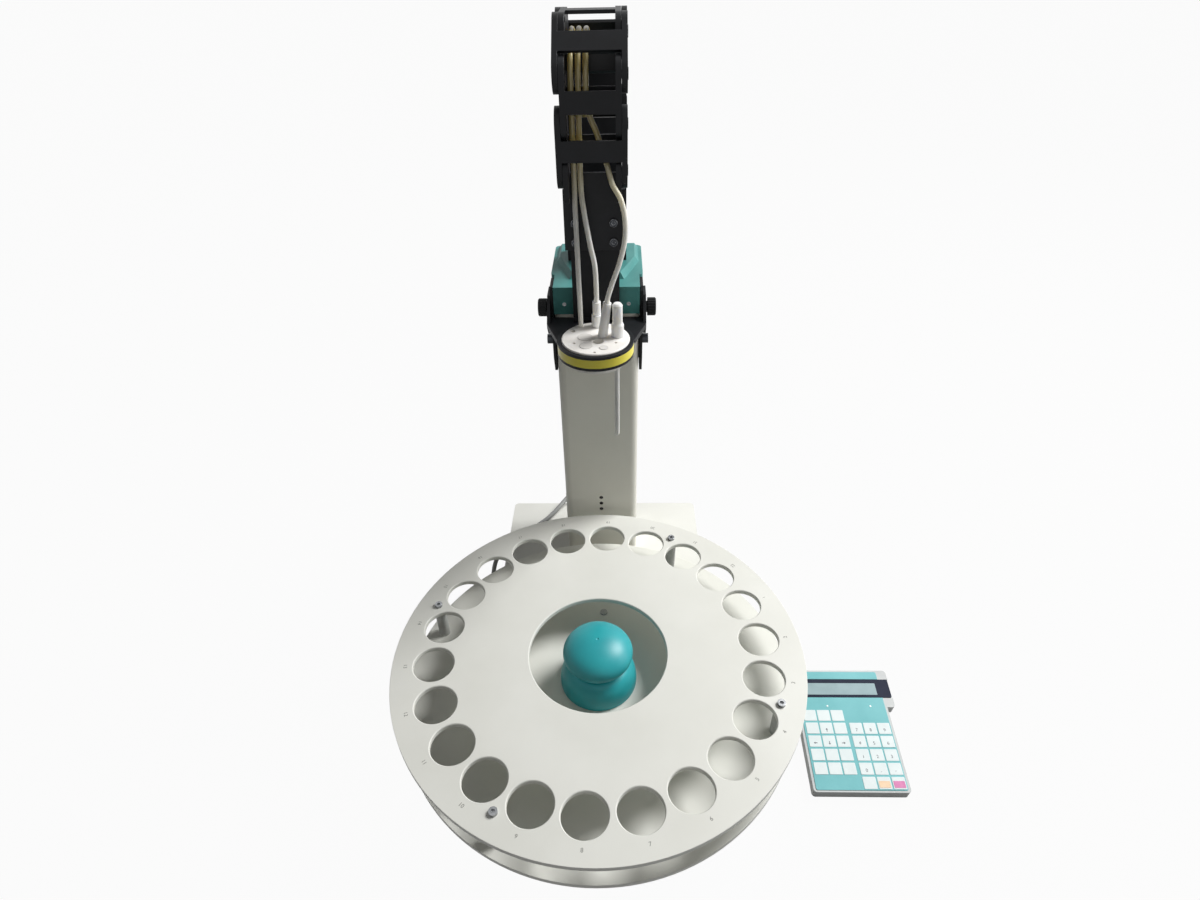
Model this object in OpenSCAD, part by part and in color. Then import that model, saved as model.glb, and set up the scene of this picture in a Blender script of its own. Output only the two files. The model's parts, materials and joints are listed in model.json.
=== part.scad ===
// Titration sample changer: a round beaker rack on a motor turntable, and a tower with a lift
// that lowers a titration head into the beakers. A drag chain carries the hoses to the head.
// Origin on the turntable axis at bench level, X to the right, Y to the tower, Z up.

/* [Rack] */
// Diameter of the rack's upper plate
rack_d = 420; // [400:1:440]
// Diameter of the rack's lower plate
floor_d = 409; // [390:1:420]
// Height of the rack from the underside of its lower plate to its top face
rack_h = 50; // [44:1:60]
// Thickness of each rack plate
plate_t = 5; // [3:0.5:8]
// Number of beaker holes
hole_count = 22; // [12:1:22]
// Diameter of a beaker hole
hole_d = 41.4; // [30:0.1:43]
// Diameter of the circle that the beaker holes lie on
hole_circle_d = 336; // [330:1:340]
// Angle at which the first beaker hole stands
rack_turn = 87.4; // [0:0.1:360]
// Diameter of the opening round the handle
eye_d = 142; // [120:1:170]
// Diameter of a rack post
post_d = 12; // [8:0.5:14]
// Diameter of the circle that the posts lie on
post_circle_d = 374; // [370:1:380]
// Diameter of a post screw's head
post_screw_d = 8; // [5:0.5:10]
// Chamfer on the upper edge of each hole
hole_edge = 0.8; // [0.4:0.1:1.2]

/* [Handle] */
// Diameter of the handle's grip
grip_d = 72; // [60:1:84]
// Height of the grip
grip_h = 40; // [34:1:52]
// Height of the grip's top above the rack's top face
grip_rise = 20; // [16:1:34]
// Diameter of the handle's waist
waist_d = 48; // [30:1:56]
// Diameter of the handle's foot
handle_foot_d = 80; // [70:1:100]

/* [Turntable] */
// Diameter of the turntable disc
disc_d = 230; // [180:1:240]
// Thickness of the turntable disc
disc_t = 15; // [10:1:20]
// Diameter of the turntable shaft
shaft_d = 30; // [20:1:36]
// Diameter of the spigot that centres the rack
spigot_d = 50; // [36:1:56]
// Height of the spigot above the disc
spigot_h = 12; // [8:1:16]
// Diameter of the pin that turns the rack with the disc
drive_pin_d = 8; // [5:0.5:12]
// Outer diameter of the turntable bearing
bearing_d = 62; // [52:1:80]
// Width of the turntable bearing
bearing_h = 20; // [12:1:24]
// Diameter of the pulley on the turntable shaft
pulley_d = 90; // [60:1:110]
// Diameter of the pulley on the motor
motor_pulley_d = 24; // [18:1:30]
// Distance from the turntable shaft to its motor
belt_centres = 92; // [86:1:98]

/* [Base] */
// Width of the base housing
base_w = 267; // [250:1:300]
// Distance from the turntable axis to the front edge of the base
base_front = 113; // [112:1:150]
// Distance from the tower's rear to the rear edge of the base
deck_margin = 32; // [26:1:50]
// Height of the deck above the bench
deck_z = 85; // [80:1:100]
// Height of the feet
foot_h = 10; // [8:0.5:14]
// Diameter of a foot
foot_d = 28; // [18:1:34]
// Wall of the base housing
base_wall = 3; // [2:0.5:4]
// Corner radius of the base housing
base_r = 6; // [6:1:20]
// Diameter of the round turret under the turntable
turret_d = 212; // [190:1:216]
// Height of the turret above the deck
turret_h = 33; // [28:1:45]
// Thickness of the base's bottom plate
bottom_t = 2.5; // [1.5:0.5:4]

/* [Tower] */
// Width of the tower
tower_w = 90; // [86:1:96]
// Depth of the tower
tower_d = 94; // [90:1:105]
// Height of the tower from the deck to the underside of its cap
tower_h = 372; // [350:1:400]
// Gap between the rack's rim and the tower's front
tower_gap = 12; // [10:1:20]
// Wall of the tower
tower_wall = 3; // [2:0.5:4]
// Radius of the tower's front corners
tower_r = 9; // [4:1:12]
// Width of the cap
cap_w = 98; // [97:1:108]
// Height of the cap
cap_h = 30; // [28:1:40]
// Length of the cap past the rear of the tower
cap_tail = 23; // [12:1:30]
// Height of the cap's raised middle
cap_step = 6; // [3:1:8]
// Distance between the two guide rods
rod_pitch = 52; // [48:1:56]
// Diameter of a guide rod
rod_d = 12; // [8:1:14]
// Diameter of the lift spindle
spindle_d = 12; // [8:1:14]
// Diameter of a beaker sensor window
sensor_d = 5; // [3:0.5:6]
// Distance between the sensor windows
sensor_pitch = 9.3; // [9:0.1:14]

/* [Lift] */
// Travel of the lift
travel = 195; // [150:1:195]
// Diameter of the titration head
head_d = 68; // [60:1:72]
// Height of the ring that holds the head
ring_h = 15; // [12:1:18]
// Outer diameter of the ring
ring_d = 76; // [75:1:84]
// Length of the dip tube below the head
dip_len = 90; // [60:1:92]
// Diameter of a hose
hose_d = 5; // [3:0.5:5]
// Thickness of the lift arms and of the bracket's flanges
arm_t = 3; // [2:0.5:4]
// Diameter of a clamp knob
knob_d = 19; // [14:1:22]
// Length of a clamp knob
knob_len = 9; // [7:0.5:14]
// Height of the plate that carries the chain
chain_plate_h = 116; // [112:1:120]

/* [Drag chain] */
// Distance between two chain pivots
link_pitch = 39; // [36:0.5:42]
// Height of a link's side plate
link_h = 30; // [26:1:31]
// Width across the outer side plates
chain_w = 63; // [62:1:70]
// Thickness of a side plate
link_t = 5; // [4:0.1:5.4]
// Diameter of a chain pin
pin_d = 8; // [5:0.5:10]

/* [Keypad] */
// Width of the key field part
key_w = 107; // [96:1:116]
// Width of the display part
display_w = 126; // [120:1:136]
// Length of the keypad
keypad_l = 147; // [136:1:160]
// Length of the display part
display_l = 48; // [40:1:60]
// Thickness of the keypad
keypad_t = 13; // [12:0.5:18]
// Tilt of the keypad
keypad_tilt = 7; // [3:0.5:12]
// Distance of the keypad's middle from the turntable axis
keypad_x = 289.5; // [284:0.5:320]
// Place of the keypad's front edge
keypad_y = -54; // [-64:1:-48]
// Diameter of the keypad's cable
cable_d = 6; // [4:0.5:7]

/* [Hidden] */
$fn = 48;

// Clearances: running fit on a shaft, loose fit of a piece in its seat, gap between moving faces
run_fit = 0.05;
seat_fit = 0.3;
side_gap = 0.6;
// Overlap that lets a cut run past a face
eps = 1;

// Colours
white_paint = [0.87, 0.86, 0.82];
turquoise = [0.16, 0.62, 0.62];
black_plastic = [0.08, 0.08, 0.09];
natural_plastic = [0.93, 0.93, 0.90];
steel = [0.75, 0.76, 0.78];
yellow_label = [0.86, 0.84, 0.25];
hose_cream = [0.88, 0.87, 0.76];
dark_window = [0.10, 0.11, 0.12];

// Heights of the stack from the deck to the rack
turret_top = deck_z + turret_h;
turret_lid = 5;
disc_gap = 2;
disc_z = turret_top + disc_gap;
rack_z = disc_z + disc_t;
rack_floor = rack_z + plate_t;
rack_top = rack_z + rack_h;
deck_t = 4;
cavity_top = deck_z - deck_t;
plate_top = foot_h + bottom_t;

// Plan of the base and the tower
tower_front = rack_d/2 + tower_gap;
tower_rear = tower_front + tower_d;
tower_top = deck_z + tower_h;
base_rear = tower_rear + deck_margin;
base_l = base_front + base_rear;
base_mid = (base_rear - base_front)/2;
boss_inset = foot_d/2 + 4;
head_y = hole_circle_d/2;
rod_y = tower_front + 50;
back_depth = 10;
column_rear = tower_rear - back_depth;

// Lift inside the tower
carriage_top = tower_top - 19;
carriage_h = 48;
carriage_w = rod_pitch + 24;
yoke_front = tower_front + 8;
yoke_d = 12;
yoke_h = 36;
yoke_top = carriage_top - 2;
rod_plate_t = 8;
rod_plate_w = tower_w - 2*tower_wall - 1;
rod_seat = 5;
bush_wall = 3;
top_plate_z = tower_top - rod_plate_t - 2;
motor_w = 56;
motor_h = 56;

// Lift outside the tower
arm_x = tower_w/2 + side_gap;
arm_bottom = tower_top - 74;
arm_top = tower_top + 28;
flange_x = arm_x + arm_t;
knob_y = tower_front + 13;
knob_z = tower_top + 2;
stud_d = 6;
ring_top = tower_top - 1;
ring_z = ring_top - ring_h;
lip_h = 3;
head_r = head_d/2;
head_top = ring_top + 1.5;
plug_drop = 7;
bracket_t = 5;
bracket_top = ring_top - 2;

// Chain: pivots run up in front of the tower, over the top and down to the anchor on the cap
chain_y = tower_front - 22;
chain_plate_t = 5;
chain_plate_w = 48;
chain_plate_y = tower_front - 3 - chain_plate_t;
link_gap = 0.3;
link_bend = 45;
chain_rise = 155;
pivot_z = bracket_top + chain_rise;
link_angle = [90, 90, 90 - link_bend, 90 - 2*link_bend, 90 - 3*link_bend, -90, -90, -90];
function pivot(i) = i == 0 ? [chain_y, pivot_z]
    : pivot(i - 1) + link_pitch*[cos(link_angle[i - 1]), sin(link_angle[i - 1])];
anchor_pivot = pivot(8);
outer_x = chain_w/2 - link_t;
inner_x = outer_x - link_gap - link_t;
cap_top = tower_top + cap_h;
platform_top = cap_top + cap_step;

// Keypad on the bench
keypad_mid_y = keypad_y + keypad_l/2;
tray_t = keypad_t/2;
foil_t = 0.6;

// Rounded rectangle about the origin
module round_rect(w, d, r) {
    square([w - 2*r, d], center = true);
    square([w, d - 2*r], center = true);
    for (x = [-1, 1], y = [-1, 1])
        translate([x*(w/2 - r), y*(d/2 - r)])
            circle(r);
}

// Tube between two z heights
module tube(outer_d, inner_d, h) {
    difference() {
        cylinder(d = outer_d, h = h);
        translate([0, 0, -eps])
            cylinder(d = inner_d, h = h + 2*eps);
    }
}

// Plate that stands in the YZ plane, from x to x + t
module side_plate(x, t) {
    translate([x, 0, 0])
        rotate([90, 0, 90])
            linear_extrude(t)
                children();
}

// Both mirror images of a piece about the YZ plane
module both_sides() {
    children();
    mirror([1, 0, 0])
        children();
}

module at_holes() {
    for (i = [0:hole_count - 1])
        rotate(rack_turn + i*360/hole_count)
            translate([hole_circle_d/2, 0, 0])
                children();
}

// The posts stand between two holes, as evenly as the holes allow
module at_posts() {
    for (i = [0:3])
        rotate(rack_turn + (ceil(i*hole_count/4) - 1.5)*360/hole_count)
            translate([post_circle_d/2, 0, 0])
                children();
}

module at_base_corners() {
    for (x = [-1, 1], y = [-1, 1])
        translate([x*(base_w/2 - boss_inset), base_mid + y*(base_l/2 - boss_inset), 0])
            children();
}

// Base housing, open below, with the turret and the seat of the turntable bearing
hub_wall = 7;
hub_ledge = 3;
hub_z = turret_top - bearing_h - hub_ledge;
boss_d = 12;
panel_w = base_w - 57;
panel_h = 56;
panel_t = 2;
panel_lap = 5;
panel_z = (foot_h + deck_z)/2;
spindle_hole = spindle_d + 6;
module base_housing() {
    color(white_paint) {
        difference() {
            union() {
                translate([0, base_mid, foot_h])
                    linear_extrude(deck_z - foot_h)
                        round_rect(base_w, base_l, base_r);
                translate([0, 0, deck_z])
                    cylinder(d = turret_d, h = turret_h, $fn = 96);
            }
            translate([0, base_mid, foot_h - eps])
                linear_extrude(cavity_top - foot_h + eps)
                    round_rect(base_w - 2*base_wall, base_l - 2*base_wall, base_r - base_wall);
            difference() {
                translate([0, 0, cavity_top - eps])
                    cylinder(d = turret_d - 2*base_wall, h = turret_top - turret_lid - cavity_top + eps,
                        $fn = 96);
                translate([0, 0, hub_z])
                    cylinder(d = bearing_d + 2*hub_wall, h = turret_top - hub_z);
            }
            translate([0, 0, turret_top - bearing_h])
                cylinder(d = bearing_d + 2*run_fit, h = bearing_h + eps);
            translate([0, 0, hub_z - eps])
                cylinder(d = shaft_d + 6, h = hub_ledge + 2*eps);
            translate([0, rod_y, cavity_top - eps])
                cylinder(d = spindle_hole, h = deck_t + 2*eps);
            translate([0, base_rear, panel_z])
                cube([panel_w - 2*panel_lap, 4*base_wall, panel_h - 2*panel_lap], center = true);
        }
        at_base_corners()
            translate([0, 0, plate_top])
                cylinder(d = boss_d, h = cavity_top - plate_top);
    }
}

module base_plate() {
    color(steel)
        translate([0, base_mid, foot_h])
            linear_extrude(bottom_t)
                round_rect(base_w - 2*base_wall - 2*seat_fit, base_l - 2*base_wall - 2*seat_fit,
                    base_r - base_wall);
}

// Rubber feet at the corners and one under the turntable's axis
module foot() {
    foot_chamfer = 3;
    cylinder(d1 = foot_d - 4, d2 = foot_d, h = foot_chamfer);
    translate([0, 0, foot_chamfer])
        cylinder(d = foot_d, h = foot_h - foot_chamfer);
}

module base_feet() {
    color(black_plastic) {
        foot();
        at_base_corners()
            foot();
    }
}

// Connector panel at the back: mains inlet with its rocker, two flat sockets and a round one
inlet_x = panel_w/2 - 33;
inlet_w = 48;
inlet_h = 27;
inlet_flange = 4;
inlet_depth = 32;
inlet_flange_t = 3;
socket_x = [-75, -28];
socket_w = 31;
socket_h = 12;
socket_depth = 14;
round_socket_x = 18;
round_socket_d = 16;
panel_face = base_rear + panel_t;
module rear_panel() {
    color(steel)
        difference() {
            translate([-panel_w/2, base_rear, panel_z - panel_h/2])
                cube([panel_w, panel_t, panel_h]);
            translate([inlet_x, base_rear, panel_z])
                cube([inlet_w + 2*seat_fit, 4*panel_t, inlet_h + 2*seat_fit], center = true);
            for (x = socket_x)
                translate([x, base_rear, panel_z])
                    cube([socket_w - 8, 4*panel_t, socket_h - 2], center = true);
            translate([round_socket_x, base_rear - eps, panel_z])
                rotate([-90, 0, 0])
                    cylinder(d = round_socket_d - 4, h = panel_t + 2*eps);
        }
}

rocker_w = 11.4;
rocker_h = 19;
rocker_x = inlet_x + 14;
rocker_y = panel_face - 1;
rocker_pin_d = 3;
rocker_tilt = 8;
well_gap = 0.8;
well_depth = 12;
module mains_inlet() {
    color(black_plastic)
        difference() {
            union() {
                translate([inlet_x - inlet_w/2, panel_face - inlet_depth, panel_z - inlet_h/2])
                    cube([inlet_w, inlet_depth, inlet_h]);
                translate([inlet_x, panel_face + inlet_flange_t/2, panel_z])
                    cube([inlet_w + 2*inlet_flange, inlet_flange_t, inlet_h + 2*inlet_flange], center = true);
            }
            translate([inlet_x - 10, panel_face - 5, panel_z])
                cube([24, 28, 17], center = true);
            translate([rocker_x, panel_face + inlet_flange_t - well_depth/2, panel_z])
                cube([rocker_w + 2*well_gap, well_depth + 2*eps, rocker_h + 4], center = true);
            translate([rocker_x - rocker_w/2 - 3, rocker_y, panel_z])
                rotate([0, 90, 0])
                    cylinder(d = rocker_pin_d + 2*run_fit, h = rocker_w + 6);
        }
    color(steel)
        for (x = [-6, 0, 6])
            translate([inlet_x - 10 + x, panel_face - 19, panel_z])
                rotate([-90, 0, 0])
                    cylinder(d = 3, h = 16);
}

// Rocker, drawn with its lower half pressed
module power_rocker() {
    color(black_plastic)
        translate([rocker_x, rocker_y, panel_z])
            rotate([-rocker_tilt, 0, 0]) {
                translate([-rocker_w/2, 0, 0])
                    rotate([90, 0, 90])
                        linear_extrude(rocker_w)
                            polygon([[-6, -4], [-6, 4], [2, rocker_h/2], [5.5, rocker_h/2], [3.5, 0],
                                [5.5, -rocker_h/2], [2, -rocker_h/2]]);
                translate([-rocker_w/2 - 2, 0, 0])
                    rotate([0, 90, 0])
                        cylinder(d = rocker_pin_d, h = rocker_w + 4);
            }
}

module interface_sockets() {
    color(steel) {
        for (x = socket_x)
            translate([x, panel_face, panel_z])
                difference() {
                    union() {
                        translate([-socket_w/2, 0, -socket_h/2])
                            cube([socket_w, 1.5, socket_h]);
                        translate([-socket_w/2 + 7, 0, -socket_h/2 + 2])
                            cube([socket_w - 14, 6, socket_h - 4]);
                    }
                    translate([-socket_w/2 + 8, 1.5, -socket_h/2 + 3])
                        cube([socket_w - 16, 6, socket_h - 6]);
                }
        translate([round_socket_x, panel_face, panel_z])
            rotate([-90, 0, 0])
                tube(round_socket_d, round_socket_d - 6, 4);
    }
}

// Turntable drive: bearing in the turret, motor on the bottom plate, toothed belt between them
shaft_bottom = plate_top + 48;
pulley_h = 14;
belt_w = 9;
belt_t = 1.6;
pulley_rim = 1.5;
pulley_z = shaft_bottom + 1;
belt_z = pulley_z + (pulley_h - belt_w)/2;
drive_motor_top = pulley_z - 2;
outer_race_w = 7;
inner_race_w = 5;
race_recess = 1;
module turntable_bearing() {
    color(steel)
        translate([0, 0, turret_top - bearing_h])
            difference() {
                cylinder(d = bearing_d, h = bearing_h);
                translate([0, 0, -eps])
                    cylinder(d = shaft_d + 2*run_fit, h = bearing_h + 2*eps);
                for (z = [-eps, bearing_h - race_recess])
                    translate([0, 0, z])
                        tube(bearing_d - 2*outer_race_w, shaft_d + 2*inner_race_w, race_recess + eps);
            }
}

module turntable_motor() {
    color(black_plastic)
        translate([0, belt_centres, plate_top]) {
            linear_extrude(drive_motor_top - plate_top)
                difference() {
                    round_rect(motor_w, motor_w, 6);
                    for (a = [45:90:315])
                        rotate(a)
                            translate([motor_w*0.69, 0])
                                circle(4);
                }
            translate([0, 0, drive_motor_top - plate_top])
                cylinder(d = 8, h = 12);
        }
}

module belt_pulley(d, bore) {
    difference() {
        union() {
            cylinder(d = d, h = pulley_h);
            for (z = [0, pulley_h - pulley_rim])
                translate([0, 0, z])
                    cylinder(d = d + 5, h = pulley_rim);
        }
        translate([0, 0, -eps])
            cylinder(d = bore, h = pulley_h + 2*eps);
    }
}

module motor_pulley() {
    color(steel)
        translate([0, belt_centres, pulley_z])
            belt_pulley(motor_pulley_d, 8 + 2*run_fit);
}

// Outline of the belt's two arcs and straight runs, grown by a distance
module belt_outline(grow) {
    big = pulley_d/2 + grow;
    small = motor_pulley_d/2 + grow;
    wrap = acos((big - small)/belt_centres);
    big_at = (big - 0.02)*[sin(wrap), cos(wrap)];
    small_at = (small - 0.02)*[sin(wrap), cos(wrap)] + [0, belt_centres];
    circle(big, $fn = 96);
    translate([0, belt_centres])
        circle(small);
    polygon([big_at, small_at, [-small_at[0], small_at[1]], [-big_at[0], big_at[1]]]);
}

module drive_belt() {
    color(black_plastic)
        translate([0, 0, belt_z])
            difference() {
                linear_extrude(belt_w)
                    belt_outline(seat_fit + belt_t);
                translate([0, 0, -eps])
                    linear_extrude(belt_w + 2*eps)
                        belt_outline(seat_fit);
            }
}

// Control board on four pillars, and the mains transformer
board_x = -80;
board_y = 205;
board_w = 76;
board_l = 110;
board_z = plate_top + 8;
board_t = 1.6;
pillar_d = 6;
chip_w = 24;
chip_l = 18;
chip_h = 4;
chip_pitch = 30;
module circuit_board() {
    color([0.10, 0.38, 0.22])
        translate([board_x, board_y, board_z]) {
            translate([-board_w/2, -board_l/2, 0])
                cube([board_w, board_l, board_t]);
            for (x = [-1, 1], y = [-1, 1])
                translate([x*(board_w/2 - pillar_d), y*(board_l/2 - pillar_d), plate_top - board_z])
                    cylinder(d = pillar_d, h = board_z - plate_top);
            for (i = [-1:1])
                translate([-chip_w/2, i*chip_pitch - chip_l/2, board_t])
                    cube([chip_w, chip_l, chip_h]);
        }
}

transformer_d = 76;
transformer_h = 34;
transformer_at = [82, 190];
transformer_eye_d = 24;
transformer_bolt_d = 6;
module transformer() {
    color([0.55, 0.45, 0.20])
        translate([transformer_at[0], transformer_at[1], plate_top]) {
            difference() {
                cylinder(d = transformer_d, h = transformer_h);
                translate([0, 0, 4])
                    cylinder(d = transformer_eye_d, h = transformer_h);
            }
            cylinder(d = transformer_bolt_d, h = transformer_h + 5);
        }
}

// Tower: front shell with side slots for the lift arms, and a rear shell that closes it
slot_clear = 2;
slot_z = yoke_top - yoke_h - travel - slot_clear;
module tower_column() {
    color(white_paint)
        difference() {
            translate([0, 0, deck_z])
                linear_extrude(tower_h)
                    difference() {
                        translate([0, (tower_front + column_rear)/2 + tower_r/2])
                            round_rect(tower_w, tower_d - back_depth + tower_r, tower_r);
                        translate([0, (tower_front + column_rear)/2 + tower_r/2])
                            round_rect(tower_w - 2*tower_wall, tower_d - back_depth + tower_r - 2*tower_wall,
                                tower_r - tower_wall + 0.5);
                        translate([-tower_w, column_rear])
                            square([2*tower_w, tower_d]);
                    }
            both_sides()
                translate([tower_w/2 - tower_wall - eps, yoke_front - slot_clear, slot_z])
                    cube([tower_wall + 2*eps, yoke_d + 2*slot_clear, yoke_h + travel + 2*slot_clear]);
            for (i = [0:2])
                translate([0, tower_front - eps, rack_top + i*sensor_pitch])
                    rotate([-90, 0, 0])
                        cylinder(d = sensor_d, h = tower_wall + 2*eps);
        }
}

cable_exit = [-5, 110];
boot_d = 11;
module tower_back() {
    color(white_paint)
        difference() {
            translate([0, 0, deck_z])
                linear_extrude(tower_h)
                    difference() {
                        translate([0, tower_rear - back_depth])
                            round_rect(tower_w, 2*back_depth, 6);
                        translate([0, tower_rear - back_depth])
                            round_rect(tower_w - 2*tower_wall, 2*back_depth - 2*tower_wall, 3);
                        translate([-tower_w, column_rear - 4*back_depth])
                            square([2*tower_w, 4*back_depth]);
                    }
            translate([cable_exit[0], tower_rear - tower_wall - eps, cable_exit[1]])
                rotate([-90, 0, 0])
                    cylinder(d = cable_d + 1, h = tower_wall + 2*eps);
        }
}

window_flange = 3;
module sensor_windows() {
    color(dark_window)
        for (i = [0:2])
            translate([0, tower_front, rack_top + i*sensor_pitch])
                rotate([-90, 0, 0]) {
                    cylinder(d = sensor_d - 4*run_fit, h = tower_wall);
                    translate([0, 0, tower_wall])
                        cylinder(d = sensor_d + window_flange, h = 2);
                }
}

// Cap: notched beside the lift arms, with a raised middle that narrows to the front
notch_l = 32;
platform_back_w = cap_w - 8;
platform_front_w = 58;
cap_rear = tower_rear + cap_tail;
module cap_outline() {
    translate([0, (tower_front + notch_l + cap_rear)/2])
        round_rect(cap_w, cap_rear - tower_front - notch_l, 6);
    translate([-tower_w/2, tower_front])
        square([tower_w, notch_l + 12]);
}

// Plan of the raised middle, drawn in by the run of its sloped sides
platform_slope = 4;
slab_t = 0.01;
module platform_plan(inset) {
    back_x = platform_back_w/2 - inset;
    front_x = platform_front_w/2 - inset;
    taper_y = tower_front + 68;
    front_y = tower_front + 20 + inset;
    rear_y = cap_rear - 6 - inset;
    polygon([[-back_x, rear_y], [back_x, rear_y], [back_x, taper_y], [front_x, front_y],
        [-front_x, front_y], [-back_x, taper_y]]);
}

module tower_cap() {
    color(turquoise)
        difference() {
            union() {
                translate([0, 0, tower_top])
                    linear_extrude(cap_h)
                        cap_outline();
                hull() {
                    translate([0, 0, cap_top - slab_t])
                        linear_extrude(slab_t)
                            platform_plan(0);
                    translate([0, 0, platform_top - slab_t])
                        linear_extrude(slab_t)
                            platform_plan(platform_slope);
                }
            }
            translate([-tower_w/2 + tower_wall, tower_front + tower_wall, tower_top - eps])
                cube([tower_w - 2*tower_wall, tower_d - 2*tower_wall, cap_h - 4 + eps]);
            for (x = hose_x)
                translate([x, anchor_pivot[0], cap_top - eps])
                    cylinder(d = hose_d + 2*seat_fit, h = cap_step + 2*eps);
        }
}

// Lift drive: two plates hold the guide rods and the spindle's bearings
module at_rods() {
    for (x = [-1, 1])
        translate([x*rod_pitch/2, rod_y, 0])
            children();
}

thrust_d = spindle_d + 14;
thrust_h = 6;
module rod_plate(z, seat_z, thrust_z) {
    difference() {
        translate([0, tower_front + tower_d/2, z])
            linear_extrude(rod_plate_t)
                round_rect(rod_plate_w, tower_d - 2*tower_wall - 1, tower_r);
        at_rods()
            translate([0, 0, seat_z])
                cylinder(d = rod_d + 2*run_fit, h = rod_seat + eps);
        translate([0, rod_y, z - eps])
            cylinder(d = spindle_d + 4, h = rod_plate_t + 2*eps);
        translate([0, rod_y, thrust_z])
            cylinder(d = thrust_d + 2*run_fit, h = thrust_h + eps);
    }
}

module rod_plates() {
    color(steel) {
        rod_plate(deck_z, deck_z + rod_plate_t - rod_seat, deck_z + rod_plate_t - thrust_h);
        rod_plate(top_plate_z, top_plate_z - eps, top_plate_z - eps);
    }
}

module guide_rods() {
    rod_bottom = deck_z + rod_plate_t - rod_seat;
    color(steel)
        at_rods()
            translate([0, 0, rod_bottom])
                cylinder(d = rod_d, h = top_plate_z + rod_seat - rod_bottom);
}

module spindle_bearings() {
    color(steel)
        for (z = [deck_z + rod_plate_t - thrust_h, top_plate_z])
            translate([0, rod_y, z])
                tube(thrust_d, spindle_d + 2*run_fit, thrust_h - 1);
}

lift_motor_top = cavity_top - 8;
motor_bore = 8;
module lift_spindle() {
    spindle_bottom = lift_motor_top - motor_bore + 1;
    color(steel)
        translate([0, rod_y, spindle_bottom])
            cylinder(d = spindle_d, h = top_plate_z + thrust_h - 1 - spindle_bottom);
}

module lift_motor() {
    color(black_plastic)
        translate([0, rod_y, plate_top])
            difference() {
                linear_extrude(lift_motor_top - plate_top)
                    round_rect(motor_w, motor_w, 6);
                translate([0, 0, lift_motor_top - plate_top - motor_bore])
                    cylinder(d = spindle_d + 2*run_fit, h = motor_bore + eps);
            }
}

// Turntable: disc with the rack's spigot and drive pin, on a collared shaft
collar_t = disc_gap - 0.2;
collar_w = 8;
disc_rim_w = 8;
disc_hub_w = 10;
disc_web_t = 5;
drive_pin_r = 90;
module turntable_disc() {
    color(steel) {
        translate([0, 0, disc_z])
            difference() {
                cylinder(d = disc_d, h = disc_t, $fn = 96);
                translate([0, 0, -eps])
                    tube(disc_d - 2*disc_rim_w, spigot_d + 2*disc_hub_w, disc_t - disc_web_t + eps, $fn = 96);
            }
        translate([0, 0, rack_z - eps])
            cylinder(d = spigot_d, h = spigot_h + eps);
        rotate(rack_turn)
            translate([drive_pin_r, 0, rack_z - eps])
                cylinder(d = drive_pin_d, h = plate_t + 2 + eps);
    }
}

module turntable_shaft() {
    color(steel) {
        translate([0, 0, shaft_bottom])
            cylinder(d = shaft_d, h = disc_z - shaft_bottom);
        translate([0, 0, disc_z - collar_t])
            cylinder(d = shaft_d + 2*collar_w, h = collar_t);
    }
}

module driven_pulley() {
    color(steel)
        translate([0, 0, pulley_z])
            belt_pulley(pulley_d, shaft_d + 2*run_fit);
}

// Rack: two plates on four posts, with the beaker holes in the upper one
screw_head_h = 3;
screw_sink = 1;
screw_d = post_d*0.5;
screw_depth = 12;
module rack_lower_plate() {
    color(white_paint)
        difference() {
            translate([0, 0, rack_z])
                cylinder(d = floor_d, h = plate_t, $fn = 120);
            translate([0, 0, rack_z - eps])
                cylinder(d = spigot_d + 2*seat_fit, h = plate_t + 2*eps);
            rotate(rack_turn)
                translate([drive_pin_r, 0, rack_z - eps])
                    cylinder(d = drive_pin_d + 2*seat_fit, h = plate_t + 2*eps);
        }
}

// Cut for a hole whose upper edge is chamfered, from below the plate to above its top
module edged_hole(d, t) {
    translate([0, 0, -t - eps])
        cylinder(d = d, h = t + 2*eps);
    translate([0, 0, -hole_edge])
        cylinder(d1 = d, d2 = d + 2*hole_edge, h = hole_edge);
    cylinder(d = d + 2*hole_edge, h = eps);
}

module rack_upper_plate() {
    color(white_paint)
        difference() {
            translate([0, 0, rack_top - plate_t])
                cylinder(d = rack_d, h = plate_t, $fn = 120);
            translate([0, 0, rack_top])
                edged_hole(eye_d, plate_t, $fn = 96);
            at_holes()
                translate([0, 0, rack_top])
                    edged_hole(hole_d, plate_t);
            at_posts()
                translate([0, 0, rack_top - plate_t - eps])
                    cylinder(d = screw_d + 2*seat_fit, h = plate_t + 2*eps);
        }
}

module rack_posts() {
    color(steel)
        at_posts()
            translate([0, 0, rack_floor])
                difference() {
                    cylinder(d = post_d, h = rack_h - 2*plate_t);
                    translate([0, 0, rack_h - 2*plate_t - screw_depth])
                        cylinder(d = screw_d + 2*run_fit, h = screw_depth + eps);
                }
}

module rack_screws() {
    color(steel)
        at_posts()
            translate([0, 0, rack_top])
                difference() {
                    union() {
                        cylinder(d = post_screw_d, h = screw_head_h);
                        translate([0, 0, screw_sink - plate_t - screw_depth])
                            cylinder(d = screw_d, h = plate_t + screw_depth - screw_sink);
                    }
                    translate([0, 0, screw_sink])
                        cylinder(d = post_screw_d/2, h = screw_head_h, $fn = 6);
                }
}

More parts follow.
